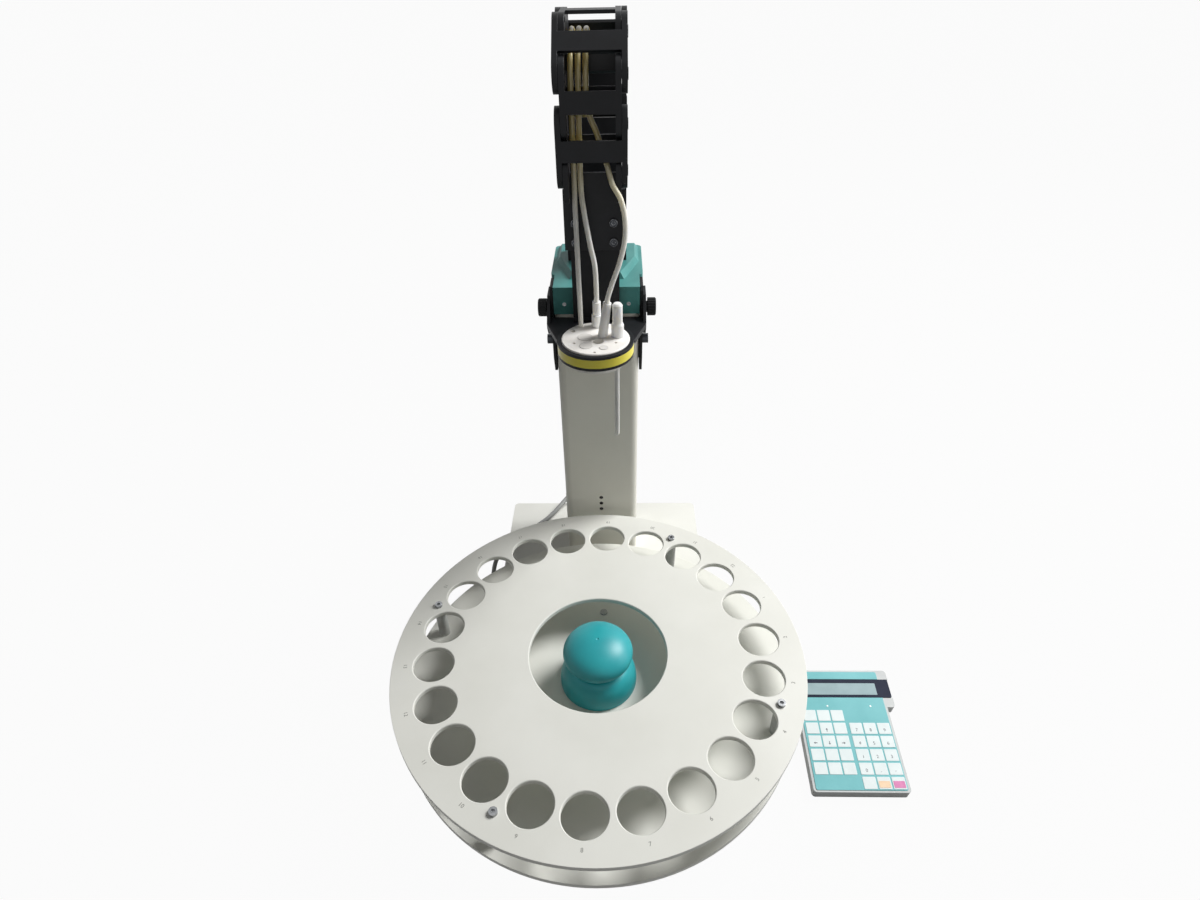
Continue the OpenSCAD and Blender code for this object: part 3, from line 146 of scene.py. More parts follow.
room_level = 0.09
room = bpy.data.worlds.new("room")
room.use_nodes = True
scene.world = room
room_tree = room.node_tree
room_sky = room_tree.nodes["Background"]
room_light = lay(room_tree, "ShaderNodeMapRange", Value=seen_directly(room_tree), To_Min=room_level)
feed(room_tree, room_sky.inputs["Strength"], room_light.outputs["Result"])
feed(room_tree, room_sky.inputs["Color"], (1, 1, 1, 1))


def soft_lamp(name, place, target, width, watts):
    """A round area lamp that faces a point."""
    lamp = bpy.data.lights.new(name, "AREA")
    lamp.shape = "DISK"
    lamp.size = width
    lamp.energy = watts
    stand = bpy.data.objects.new(name, lamp)
    stand.location = place
    stand.rotation_euler = (Vector(target) - Vector(place)).to_track_quat("-Z", "Y").to_euler()
    scene.collection.objects.link(stand)


soft_lamp("key_lamp", place=(1.45, 0.85, 1.95), target=(0.0, 0.05, 0.2), width=1.1, watts=66)
soft_lamp("window_lamp", place=(1.5, 0.1, 0.8), target=(0.0, 0.05, 0.25), width=0.9, watts=5)
soft_lamp("fill_lamp", place=(0.5, -1.8, 1.5), target=(0.0, 0.1, 0.3), width=1.6, watts=1.5)

# Keypad lead
# Round grey lead of soft plastic, 6 mm across, from a boot in the tower's back to the keypad's side.
# It lies over the deck, drops beside the base and runs on the bench between the feet.
lead_d = 0.006
lead_steps = 6
lead_route = [
    (-0.005, 0.3242, 0.110), (-0.005, 0.328, 0.110), (-0.005, 0.332, 0.110), (-0.007, 0.341, 0.1095),
    (-0.013, 0.349, 0.109), (-0.021, 0.354, 0.108), (-0.031, 0.356, 0.1065), (-0.041, 0.354, 0.1045),
    (-0.050, 0.3475, 0.102), (-0.058, 0.338, 0.099), (-0.067, 0.325, 0.0955), (-0.079, 0.311, 0.091),
    (-0.092, 0.298, 0.089), (-0.106, 0.284, 0.089), (-0.119, 0.271, 0.0895), (-0.131, 0.258, 0.0905),
    (-0.142, 0.246, 0.086), (-0.150, 0.236, 0.073), (-0.154, 0.228, 0.055), (-0.157, 0.218, 0.036),
    (-0.159, 0.205, 0.020), (-0.161, 0.188, 0.008), (-0.163, 0.166, 0.0035), (-0.163, 0.142, 0.0032),
    (-0.158, 0.118, 0.0032), (-0.144, 0.097, 0.0032), (-0.122, 0.081, 0.0032), (-0.092, 0.070, 0.0032),
    (-0.045, 0.063, 0.0032), (0.015, 0.060, 0.0032), (0.075, 0.059, 0.0032), (0.130, 0.0582, 0.0032),
    (0.158, 0.058, 0.0032), (0.1714, 0.058, 0.0043), (0.1848, 0.058, 0.012), (0.1982, 0.058, 0.0197),
    (0.206, 0.058, 0.0208), (0.211, 0.058, 0.0208), (0.216, 0.058, 0.0208)]


def through(points, steps):
    """Points along the smooth curve that passes through each given point."""
    p = [Vector(point) for point in points]
    curve = []
    for i in range(len(p) - 1):
        a, b, c, d = p[max(i - 1, 0)], p[i], p[i + 1], p[min(i + 2, len(p) - 1)]
        for k in range(steps):
            t = k/steps
            curve.append(0.5*(2*b + (c - a)*t + (2*a - 5*b + 4*c - d)*t**2 + (3*b - 3*c + d - a)*t**3))
    return curve + [p[-1]]


def linear(red, green, blue):
    """The light level of a colour given as it shows on screen, from 0 to 255."""
    levels = [value/255 for value in (red, green, blue)]
    return [v/12.92 if v <= 0.04045 else ((v + 0.055)/1.055)**2.4 for v in levels] + [1.0]


def mixed(tree, share, first, second, way="MIX"):
    """The colour socket of two colours mixed by a share from nought to one."""
    mix = tree.nodes.new("ShaderNodeMix")
    mix.data_type = "RGBA"
    mix.blend_type = way
    feed(tree, mix.inputs["Factor"], share)
    feed(tree, mix.inputs[6], first)
    feed(tree, mix.inputs[7], second)
    return mix.outputs[2]


tint_stops = (0.33, 0.67)
speck_low, speck_high = 0.3, 0.7
wear_sheen_start, wear_sheen_full, wear_sheen_share = 0.99, 0.80, 0.7
edge_samples = 6


def surface(name, low, high, patch, grain, relief, gloss, metal=0.0, edge=0.0004, wear_sheen=None,
            stretch=(1, 1, 1), mirror=0.5):
    """A finish whose colour drifts from low to high over patches of a size, under a fine grain in relief.
    Gloss is the range of roughness, edge the radius that catches the light, the edge colour partly wear
    and partly a painted highlight, mirror the strength of the clear reflection."""
    finish = bpy.data.materials.new(name)
    finish.use_nodes = True
    tree = finish.node_tree
    shader = tree.nodes["Principled BSDF"]
    place = tree.nodes.new("ShaderNodeTexCoord").outputs["Object"]
    drift = lay(tree, "ShaderNodeTexNoise", Vector=place, Scale=1/patch, Detail=5.0)
    tint = lay(tree, "ShaderNodeValToRGB", Fac=drift.outputs["Fac"])
    for stop, at, colour in zip(tint.color_ramp.elements, tint_stops, (low, high)):
        stop.position = at
        stop.color = linear(*colour)
    along = lay(tree, "ShaderNodeMapping", Vector=place, Scale=stretch)
    specks = lay(tree, "ShaderNodeTexNoise", Vector=along.outputs["Vector"], Scale=1/grain, Detail=3.0)
    shine = lay(tree, "ShaderNodeMapRange", Value=specks.outputs["Fac"], From_Min=speck_low,
                From_Max=speck_high, To_Min=gloss[0], To_Max=gloss[1])
    rounded = lay(tree, "ShaderNodeBevel", Radius=edge)
    rounded.samples = edge_samples
    bumps = lay(tree, "ShaderNodeBump", Height=specks.outputs["Fac"], Distance=relief,
                Normal=rounded.outputs["Normal"])
    colour = tint.outputs["Color"]
    # Edges take a second colour through a mask from the bevelled normal: partly wear, partly a painted
    # highlight.
    if wear_sheen:
        flat = tree.nodes.new("ShaderNodeNewGeometry").outputs["Normal"]
        facing = lay(tree, "ShaderNodeVectorMath")
        facing.operation = "DOT_PRODUCT"
        feed(tree, facing.inputs[0], flat)
        feed(tree, facing.inputs[1], rounded.outputs["Normal"])
        wear_sheen_mask = lay(tree, "ShaderNodeMapRange", Value=facing.outputs["Value"], From_Min=wear_sheen_start,
                     From_Max=wear_sheen_full, To_Min=0.0, To_Max=wear_sheen_share)
        colour = mixed(tree, wear_sheen_mask.outputs["Result"], colour, linear(*wear_sheen))
    tree.links.new(colour, shader.inputs["Base Color"])
    tree.links.new(shine.outputs["Result"], shader.inputs["Roughness"])
    tree.links.new(bumps.outputs["Normal"], shader.inputs["Normal"])
    shader.inputs["Metallic"].default_value = metal
    shader.inputs["Specular IOR Level"].default_value = mirror
    return finish


def dress(finish, *names):
    """Gives CAD nodes a finish through their own material slots."""
    for name in names:
        if not nodes[name].material_slots:
            nodes[name].data.materials.append(finish)
        for slot in nodes[name].material_slots:
            slot.material = finish


lead_line = through(lead_route, lead_steps)
lead_curve = bpy.data.curves.new("keypad_lead", "CURVE")
lead_curve.dimensions = "3D"
lead_curve.bevel_depth = lead_d/2
lead_curve.bevel_resolution = 4
lead_curve.use_fill_caps = True
lead_spline = lead_curve.splines.new("POLY")
lead_spline.points.add(len(lead_line) - 1)
for point, place in zip(lead_spline.points, lead_line):
    point.co = (*place, 1)
keypad_lead = bpy.data.objects.new("keypad_lead", lead_curve)
scene.collection.objects.link(keypad_lead)
lead_finish = surface("lead_sheath", (142, 143, 142), (156, 157, 155),
                      patch=0.05, grain=0.0006, relief=0.00002, gloss=(0.45, 0.6))
lead_curve.materials.append(lead_finish)
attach(keypad_lead, "stand")
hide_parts("keypad_cable")
boot_finish = surface("boot_rubber", (52, 53, 54), (64, 65, 66),
                      patch=0.02, grain=0.0005, relief=0.00004, gloss=(0.55, 0.75), mirror=0.15)
dress(boot_finish, "cable_boots")

# Base
# Cast housing in off-white satin paint with a round turret for the turntable, closed by a zinc plate.
# It stands on moulded rubber feet.
housing_paint = surface("housing_paint", (222, 222, 215), (230, 230, 224),
                        patch=0.09, grain=0.0011, relief=0.00004, gloss=(0.38, 0.52))
zinc_plate = surface("zinc_plate", (158, 160, 160), (184, 186, 187),
                     patch=0.03, grain=0.004, relief=0.00001, gloss=(0.3, 0.5), metal=1.0)
foot_rubber = surface("foot_rubber", (30, 30, 31), (42, 42, 43),
                      patch=0.015, grain=0.0006, relief=0.00006, gloss=(0.6, 0.85), mirror=0.15)
dress(housing_paint, "base_housing")
dress(zinc_plate, "base_plate")
dress(foot_rubber, "base_feet")


# Rear panel
# Brushed steel plate with a moulded mains inlet, its rocker switch and three interface sockets.
# Four small screws hold it to the housing.
def new_tree(name, **inputs):
    """A geometry tree with a geometry input and named inputs of the given socket types."""
    tree = bpy.data.node_groups.new(name, "GeometryNodeTree")
    tree.interface.new_socket("Geometry", in_out="INPUT", socket_type="NodeSocketGeometry")
    for label, kind in inputs.items():
        tree.interface.new_socket(label.replace("_", " "), in_out="INPUT", socket_type="NodeSocket" + kind)
    tree.interface.new_socket("Geometry", in_out="OUTPUT", socket_type="NodeSocketGeometry")
    return tree, tree.nodes.new("NodeGroupInput").outputs


def close_tree(tree, geometry, finish):
    """Ends a tree: instances made real, and the finish set."""
    real = lay(tree, "GeometryNodeRealizeInstances", Geometry=geometry)
    finished = lay(tree, "GeometryNodeSetMaterial", Geometry=real.outputs["Geometry"], Material=finish)
    end = tree.nodes.new("NodeGroupOutput")
    tree.links.new(finished.outputs["Geometry"], end.inputs["Geometry"])
    return tree


def made_by(tree, name, points=(), edges=(), place=Matrix(), smooth=35, **sizes):
    """Runs a geometry tree on points and edges, and hands back its result as a plain mesh object."""
    start = bpy.data.meshes.new(name)
    start.from_pydata([tuple(p) for p in points], edges, [])
    piece = bpy.data.objects.new(name, start)
    scene.collection.objects.link(piece)
    maker = piece.modifiers.new("maker", "NODES")
    maker.node_group = tree
    wanted = {label.replace("_", " "): value for label, value in sizes.items()}
    for socket in tree.interface.items_tree:
        if socket.in_out == "INPUT" and socket.name in wanted:
            maker[socket.identifier] = wanted[socket.name]
    ready = piece.evaluated_get(bpy.context.evaluated_depsgraph_get())
    plain = bpy.data.meshes.new_from_object(ready)
    piece.modifiers.remove(maker)
    piece.data = plain
    plain.transform(place)
    plain.shade_smooth()
    plain.set_sharp_from_angle(angle=math.radians(smooth))
    return piece


screw_sides = 24
hex_sides = 6
socket_screw_tree, given = new_tree("socket_screw", Head="Float", Rise="Float", Socket="Float",
                                    Facing="Vector", Finish="Material")
screw_radius = reckon(socket_screw_tree, "DIVIDE", given["Head"], 2)
screw_head = lay(socket_screw_tree, "GeometryNodeMeshCylinder", Vertices=screw_sides, Radius=screw_radius,
                 Depth=given["Rise"])
screw_recess = lay(socket_screw_tree, "GeometryNodeMeshCylinder", Vertices=hex_sides, Radius=given["Socket"],
                   Depth=given["Rise"])
recess_rise = reckon(socket_screw_tree, "DIVIDE", given["Rise"], 2)
recess_up = lay(socket_screw_tree, "ShaderNodeCombineXYZ", Z=recess_rise)
raised_recess = lay(socket_screw_tree, "GeometryNodeTransform", Geometry=screw_recess.outputs["Mesh"],
                    Translation=recess_up.outputs["Vector"])
screw_cut = lay(socket_screw_tree, "GeometryNodeMeshBoolean", Mesh_1=screw_head.outputs["Mesh"])
screw_cut.operation = "DIFFERENCE"
socket_screw_tree.links.new(raised_recess.outputs["Geometry"], screw_cut.inputs["Mesh 2"])
screw_turn = lay(socket_screw_tree, "FunctionNodeAlignRotationToVector", Vector=given["Facing"])
screw_turn.axis = "Z"
screws_set = lay(socket_screw_tree, "GeometryNodeInstanceOnPoints", Points=given["Geometry"],
                 Instance=screw_cut.outputs["Mesh"], Rotation=screw_turn.outputs["Rotation"])
close_tree(socket_screw_tree, screws_set.outputs["Instances"], given["Finish"])

panel_steel = surface("panel_steel", (150, 152, 155), (172, 174, 177),
                      patch=0.05, grain=0.0005, relief=0.000008, gloss=(0.32, 0.48),
                      metal=1.0, stretch=(0.05, 1, 1))
socket_steel = surface("socket_steel", (176, 178, 180), (196, 198, 200),
                       patch=0.01, grain=0.0006, relief=0.000005, gloss=(0.2, 0.35), metal=1.0)
inlet_resin = surface("inlet_resin", (20, 21, 22), (28, 29, 31),
                      patch=0.02, grain=0.0004, relief=0.00002, gloss=(0.4, 0.6),
                      wear_sheen=(70, 72, 75), mirror=0.15)
dress(panel_steel, "rear_panel")
dress(socket_steel, "interface_sockets")
dress(inlet_resin, "mains_inlet", "power_rocker")
panel_low, panel_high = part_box("rear_panel")
backward = (0.0, 1.0, 0.0)
panel_screw_inset = 0.006
panel_screw_d = 0.0056
panel_screw_key = 0.0015
panel_screw_rise = 0.0016
panel_corners = [
    (x, panel_high.y + panel_screw_rise/2, z)
    for x in (panel_low.x + panel_screw_inset, panel_high.x - panel_screw_inset)
    for z in (panel_low.z + panel_screw_inset, panel_high.z - panel_screw_inset)]
panel_screws = made_by(socket_screw_tree, "panel_screws", panel_corners, Head=panel_screw_d,
                       Rise=panel_screw_rise, Socket=panel_screw_key, Facing=backward, Finish=socket_steel)
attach(panel_screws, "stand")

pin_sides = 28
pin_tree, given = new_tree("pin_end", Radius="Float", Rise="Float", Facing="Vector", Finish="Material")
pin_disc = lay(pin_tree, "GeometryNodeMeshCylinder", Vertices=pin_sides, Radius=given["Radius"],
               Depth=given["Rise"])
pin_turn = lay(pin_tree, "FunctionNodeAlignRotationToVector", Vector=given["Facing"])
pin_turn.axis = "Z"
pins_set = lay(pin_tree, "GeometryNodeInstanceOnPoints", Points=given["Geometry"],
               Instance=pin_disc.outputs["Mesh"], Rotation=pin_turn.outputs["Rotation"])
close_tree(pin_tree, pins_set.outputs["Instances"], given["Finish"])

flat_socket_x = (-0.075, -0.028)
flat_pin_pitch = 0.00277
flat_pin_rows = ((5, 0.0014), (4, -0.0014))
flat_pin_y = panel_high.y + 0.0032
flat_pin_l = 0.0034
socket_pin_r = 0.0005
panel_middle = (panel_low.z + panel_high.z)/2
flat_pin_places = [
    (x + (k - (count - 1)/2)*flat_pin_pitch, flat_pin_y, panel_middle + drop)
    for x in flat_socket_x for count, drop in flat_pin_rows for k in range(count)]
flat_pins = made_by(pin_tree, "flat_socket_pins", flat_pin_places, Radius=socket_pin_r, Rise=flat_pin_l,
                    Facing=backward, Finish=socket_steel)
round_socket_x = 0.018
round_insert_r = 0.0049
round_insert_l = 0.002
round_pin_ring = 0.003
round_pin_y = panel_high.y + 0.0028
round_pin_l = 0.0018
round_insert_place = (round_socket_x, panel_high.y + round_insert_l/2, panel_middle)
round_insert = made_by(pin_tree, "round_socket_insert", [round_insert_place], Radius=round_insert_r,
                       Rise=round_insert_l, Facing=backward, Finish=inlet_resin)
round_pin_turns = [math.radians(angle) for angle in (0, 45, 90, 135, 180)]
round_pin_places = [
    (round_socket_x + round_pin_ring*math.cos(turn), round_pin_y,
     panel_middle - round_pin_ring*math.sin(turn)) for turn in round_pin_turns]
round_pins = made_by(pin_tree, "round_socket_pins", round_pin_places, Radius=socket_pin_r, Rise=round_pin_l,
                     Facing=backward, Finish=socket_steel)
socket_fill = ((flat_pins, "steel"), (round_insert, "black_plastic"), (round_pins, "steel"))
for socket_piece, socket_slot in socket_fill:
    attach(socket_piece, "stand")

# Turntable drive
# Turned aluminium disc and pulley on a ground shaft in a ball bearing, driven by a belt from a motor.
# The control board and the transformer share the space under the deck.
turned_aluminium = surface("turned_aluminium", (176, 178, 180), (192, 194, 196),
                           patch=0.04, grain=0.0008, relief=0.000006, gloss=(0.25, 0.4), metal=1.0)
ground_steel = surface("ground_steel", (166, 168, 171), (188, 190, 193),
                       patch=0.02, grain=0.0007, relief=0.000004, gloss=(0.15, 0.3),
                       metal=1.0, stretch=(1, 1, 0.1))
motor_black = surface("motor_black", (24, 24, 25), (34, 34, 36),
                      patch=0.03, grain=0.0006, relief=0.00003, gloss=(0.45, 0.6),
                      wear_sheen=(80, 82, 84), mirror=0.15)
belt_rubber = surface("belt_rubber", (22, 22, 23), (32, 32, 33),
                      patch=0.01, grain=0.0005, relief=0.00005, gloss=(0.6, 0.8), mirror=0.15)
board_green = surface("board_green", (18, 84, 48), (30, 104, 62),
                      patch=0.006, grain=0.0009, relief=0.00002, gloss=(0.25, 0.45))
winding_tape = surface("winding_tape", (150, 118, 40), (176, 142, 58),
                       patch=0.004, grain=0.0008, relief=0.00004, gloss=(0.35, 0.55))
dress(turned_aluminium, "turntable_disc", "driven_pulley")
dress(ground_steel, "turntable_shaft", "turntable_bearing", "motor_pulley")
dress(motor_black, "turntable_motor", "lift_motor")
dress(belt_rubber, "drive_belt")
dress(board_green, "circuit_board")
dress(winding_tape, "transformer")

# Lift drive
# Two ground rods between steel plates guide a black carriage with bronze bushes and a bronze nut.
# A spindle in thrust bearings moves it from a motor below the deck.
bush_bronze = surface("bush_bronze", (168, 128, 70), (190, 150, 88),
                      patch=0.01, grain=0.0006, relief=0.000006, gloss=(0.25, 0.4), metal=1.0)
carriage_resin = surface("carriage_resin", (24, 25, 26), (32, 33, 35),
                         patch=0.02, grain=0.0005, relief=0.00003, gloss=(0.45, 0.6),
                         wear_sheen=(66, 68, 70), mirror=0.15)
dress(ground_steel, "guide_rods", "lift_spindle", "spindle_bearings", "rod_plates")
dress(bush_bronze, "rod_bushes", "spindle_nut")
dress(carriage_resin, "lift_carriage")

# Tower
# Folded sheet column in the housing's paint with a shell behind it, and slots for the lift's arms.
# Three dark windows over the rack let a light beam find the beakers.
# A lighter copy of the housing paint: painted light that brightens the tower, whose front stands in shade.
tower_paint_painted_light = surface("tower_paint_painted_light", (228, 226, 215), (236, 234, 224),
                      patch=0.12, grain=0.0011, relief=0.00004, gloss=(0.36, 0.5))
window_black = surface("window_black", (12, 12, 14), (20, 20, 24),
                       patch=0.004, grain=0.0008, relief=0.000002, gloss=(0.08, 0.16))
dress(tower_paint_painted_light, "tower_column", "tower_back")
dress(window_black, "sensor_windows")

# Tower cap
# Moulded turquoise cap with a raised middle, held at the front by two small screws.
# The chain's fixed end stands on it.
# The cap's lighter edge colour is a painted highlight along its ridges and edges.
cap_resin = surface("cap_resin", (70, 134, 131), (82, 148, 144),
                    patch=0.03, grain=0.0007, relief=0.00004, gloss=(0.35, 0.5),
                    edge=0.0008, wear_sheen=(110, 170, 165), mirror=0.2)
dress(cap_resin, "tower_cap")
cap_low, cap_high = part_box("tower_cap")
cap_screw_d = 0.0042
cap_screw_key = 0.0011
cap_screw_rise = 0.001
cap_screw_x = 0.0335
cap_screw_up = 0.0115
cap_screw_places = [
    (side*cap_screw_x, cap_low.y - cap_screw_rise/2, cap_low.z + cap_screw_up) for side in (-1, 1)]
cap_screws = made_by(socket_screw_tree, "cap_screws", cap_screw_places, Head=cap_screw_d, Rise=cap_screw_rise,
                     Socket=cap_screw_key, Facing=(0.0, -1.0, 0.0), Finish=socket_steel)
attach(cap_screws, "stand")

# Lift arms and head bracket
# Black coated plates beside the tower carry a moulded bracket with the ring for the head.
# Two ribbed knobs clamp the bracket, and blackened screws hold the arms.
arm_coat = surface("arm_coat", (24, 25, 27), (32, 33, 35),
                   patch=0.03, grain=0.0006, relief=0.00003, gloss=(0.42, 0.58),
                   wear_sheen=(84, 86, 88), mirror=0.15)
knob_resin = surface("knob_resin", (20, 21, 22), (28, 29, 30),
                     patch=0.01, grain=0.0004, relief=0.00003, gloss=(0.4, 0.6),
                     wear_sheen=(62, 64, 66), mirror=0.15)
bracket_resin = surface("bracket_resin", (22, 23, 25), (30, 31, 34),
                        patch=0.02, grain=0.0005, relief=0.00003, gloss=(0.4, 0.55),
                        wear_sheen=(74, 76, 78), mirror=0.15)
screw_steel = surface("screw_steel", (46, 48, 51), (64, 66, 70),
                      patch=0.004, grain=0.0005, relief=0.000005, gloss=(0.24, 0.4),
                      metal=1.0, edge=0.0005, wear_sheen=(206, 208, 211))
dress(arm_coat, "lift_arms", "chain_plate")
dress(bracket_resin, "head_bracket")
dress(knob_resin, "clamp_knob_left", "clamp_knob_right")
dress(screw_steel, "bracket_screws")

# Titration head
# Turned white plastic disc with stoppers, hose fittings and a dip tube that hangs into the beaker.
# A yellow film runs round the front of the ring.
head_resin = surface("head_resin", (242, 238, 232), (250, 247, 242),
                     patch=0.015, grain=0.0006, relief=0.00002, gloss=(0.35, 0.5))
stopper_resin = surface("stopper_resin", (214, 211, 206), (226, 223, 218),
                        patch=0.008, grain=0.0005, relief=0.00002, gloss=(0.4, 0.55))
fitting_resin = surface("fitting_resin", (246, 245, 241), (252, 251, 248),
                        patch=0.01, grain=0.0005, relief=0.00002, gloss=(0.28, 0.42))
tube_resin = surface("tube_resin", (242, 240, 230), (250, 248, 240),
                     patch=0.02, grain=0.0007, relief=0.00001, gloss=(0.2, 0.32))
film_yellow = surface("film_yellow", (238, 224, 66), (246, 233, 82),
                      patch=0.02, grain=0.0009, relief=0.00001, gloss=(0.3, 0.42))
glow_depth = 0.008
glow_reach = (1.0, 0.95, 0.85)


def let_light_in(finish, share):
    """Lets a share of the light scatter under the skin of a milky plastic."""
    shader = finish.node_tree.nodes["Principled BSDF"]
    shader.inputs["Subsurface Weight"].default_value = share
    shader.inputs["Subsurface Scale"].default_value = glow_depth
    shader.inputs["Subsurface Radius"].default_value = glow_reach


let_light_in(fitting_resin, 0.7)
let_light_in(tube_resin, 0.6)
let_light_in(head_resin, 0.1)
dress(head_resin, "titration_head")
dress(stopper_resin, "head_stoppers")
dress(fitting_resin, "hose_fittings")
dress(tube_resin, "dip_tube")
dress(film_yellow, "label_band")

# Drag chain
# Black moulded links with outer and inner side plates that turn on round pins, joined by cross bars.
# One end stands on the cap, the other is screwed to the lift's plate.
chain_resin = surface("chain_resin", (20, 21, 23), (29, 30, 33),
                      patch=0.02, grain=0.0006, relief=0.00003, gloss=(0.36, 0.52),
                      edge=0.0006, wear_sheen=(78, 80, 84), mirror=0.18)
link_count = 6
front_link_count = 2
link_names = [f"chain_link_{i}" for i in range(1, link_count + 1)]
chain_bends = [f"chain_bend_{i}" for i in range(1, link_count + 1)]
dress(chain_resin, "chain_bracket", "chain_anchor", "front_links", *link_names)

chain_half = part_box("chain_link_1")[1].x
pin_radius = 0.0048
pin_rise = 0.0012
joint_at = {
    joint["name"]: Vector(joint["pos_m"]) for joint in frame["joints"] if joint["name"] in chain_bends}
chain_joint = [joint_at[name] for name in chain_bends]
link_rise = chain_joint[5].z - chain_joint[4].z
anchor_joint = chain_joint[5] + Vector((0, 0, link_rise))
front_joint = [
    chain_joint[0] + Vector((0, 0, (front_link_count - i)*link_rise)) for i in range(front_link_count)]
pin_owner = [
    ("front_pins", "lift", front_joint),
    ("link_1_pins", "chain_link_1", [chain_joint[0], chain_joint[1]]),
    ("link_3_pins", "chain_link_3", [chain_joint[2], chain_joint[3]]),
    ("link_5_pins", "chain_link_5", [chain_joint[4], chain_joint[5]]),
    ("anchor_pins", "stand", [anchor_joint])]
for name, body, places in pin_owner:
    pin_points = [(side*chain_half, at.y, at.z) for at in places for side in (-1, 1)]
    pins = made_by(pin_tree, name, pin_points, Radius=pin_radius, Rise=pin_rise, Facing=(1.0, 0.0, 0.0),
                   Finish=chain_resin)
    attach(pins, body)

# Hoses
# Three translucent hoses, yellowed with age inside the chain, from the head's fittings up through the links.
# They bend with the chain over the top and go down into the cap.
hose_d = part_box("dip_tube")[1].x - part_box("dip_tube")[0].x
hose_steps = 6
head_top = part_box("titration_head")[1].z
head_middle = Vector((0, (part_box("titration_head")[0].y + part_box("titration_head")[1].y)/2, head_top))
hose_routes = [
    [(-0.0155, 0.025, -0.0055), (-0.0155, 0.025, 0.014), (-0.016, 0.027, 0.045), (-0.0165, 0.030, 0.080),
     (-0.017, 0.032, 0.112), (-0.017, 0.032, 0.150), (-0.017, 0.032, 0.180)],
    [(0.001, 0.025, 0.0272), (0.001, 0.0251, 0.042), (0.0, 0.027, 0.064), (-0.004, 0.029, 0.084),
     (-0.008, 0.031, 0.108), (-0.011, 0.032, 0.134), (-0.011, 0.032, 0.164), (-0.011, 0.032, 0.186)],
    [(0.012, 0.004, 0.0359), (0.0127, 0.0041, 0.041), (0.017, 0.005, 0.055), (0.024, 0.008, 0.074),
     (0.029, 0.011, 0.095), (0.029, 0.012, 0.115), (0.025, 0.012, 0.132), (0.0185, 0.014, 0.143),
     (0.0155, 0.019, 0.151), (0.013, 0.024, 0.159), (0.009, 0.029, 0.170), (0.004, 0.032, 0.184),
     (-0.001, 0.032, 0.196)]]
hose_lead_in = 0.003
hose_x = [-0.017, -0.0105, -0.004]
arc_steps = 10
front_y, rear_y = chain_joint[0].y, anchor_joint.y
bend_r = (rear_y - front_y)/2
bend_z = chain_joint[0].z + link_rise/2
hose_sink = 0.004
hose_end_z = cap_high.z - hose_sink

hose_tree, given = new_tree("hose_sweep", Radius="Float", Finish="Material")
hose_line = lay(hose_tree, "GeometryNodeMeshToCurve", Mesh=given["Geometry"])
hose_ring = lay(hose_tree, "GeometryNodeCurvePrimitiveCircle", Resolution=16, Radius=given["Radius"])
hose_skin = lay(hose_tree, "GeometryNodeCurveToMesh", Curve=hose_line.outputs["Curve"],
                Profile_Curve=hose_ring.outputs["Curve"], Fill_Caps=True)
close_tree(hose_tree, hose_skin.outputs["Mesh"], given["Finish"])

hose_finish = surface("hose_resin", (240, 238, 228), (250, 248, 240),
                      patch=0.03, grain=0.0007, relief=0.00001, gloss=(0.2, 0.32))
let_light_in(hose_finish, 0.6)
hose_nodes = hose_finish.node_tree
hose_shader = hose_nodes.nodes["Principled BSDF"]
clean_colour = hose_shader.inputs["Base Color"].links[0].from_socket
hose_place = lay(hose_nodes, "ShaderNodeSeparateXYZ",
                 Vector=hose_nodes.nodes.new("ShaderNodeTexCoord").outputs["Object"])
yellow_from, yellow_full = 0.56, 0.64
yellowed = lay(hose_nodes, "ShaderNodeMapRange", Value=hose_place.outputs["Z"], From_Min=yellow_from,
               From_Max=yellow_full)
hose_yellow = linear(232, 214, 156)
aged_colour = mixed(hose_nodes, yellowed.outputs["Result"], clean_colour, hose_yellow, "MULTIPLY")
feed(hose_nodes, hose_shader.inputs["Base Color"], aged_colour)


def hose_piece(name, lines):
    """One stretch of the three hoses, swept along its own lines."""
    points, edges = [], []
    for line in lines:
        edges += [(len(points) + k, len(points) + k + 1) for k in range(len(line) - 1)]
        points += line
    piece = made_by(hose_tree, name, points, edges, smooth=50, Radius=hose_d/2, Finish=hose_finish)
    return piece


def arc_point(x, share):
    """A point on the hoses' way over the bend, at a share of the half circle."""
    turn = math.pi*(1 - share)
    return Vector((x, front_y + bend_r + bend_r*math.cos(turn), bend_z + bend_r*math.sin(turn)))


front_lines = []
for route, x in zip(hose_routes, hose_x):
    line = [head_middle + Vector(p) for p in route]
    bend_start = [arc_point(x, 0) - Vector((0, 0, hose_lead_in)), arc_point(x, 0)]
    front_lines.append(through(line + bend_start, hose_steps))
hoses_front = hose_piece("hoses_front", front_lines)
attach(hoses_front, "lift")
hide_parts("hoses")
bend_pieces = 4
straight_pieces = 2
for i in range(bend_pieces):
    shares = [(i + k/arc_steps)/bend_pieces for k in range(arc_steps + 1)]
    hose_arc = hose_piece(f"hoses_over_{i + 1}", [[arc_point(x, s) for s in shares] for x in hose_x])
    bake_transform(hose_arc)
rear_marks = [bend_z, bend_z + link_rise, bend_z + 2*link_rise, anchor_joint.z, hose_end_z]


def rear_lines(top, bottom):
    """Straight stretches of the three hoses behind the bend, between two heights."""
    heights = [top + (bottom - top)*k/arc_steps for k in range(arc_steps + 1)]
    return [[Vector((x, rear_y, z)) for z in heights] for x in hose_x]


for i in range(straight_pieces):
    link = bend_pieces + i
    hose_run = hose_piece(f"hoses_over_{link + 1}", rear_lines(rear_marks[i], rear_marks[i + 1]))
    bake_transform(hose_run)
hoses_last_link = hose_piece("hoses_over_7", rear_lines(rear_marks[2], rear_marks[3]))
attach(hoses_last_link, "chain_link_6")
hoses_down = hose_piece("hoses_down", rear_lines(rear_marks[3], rear_marks[4]))
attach(hoses_down, "stand")
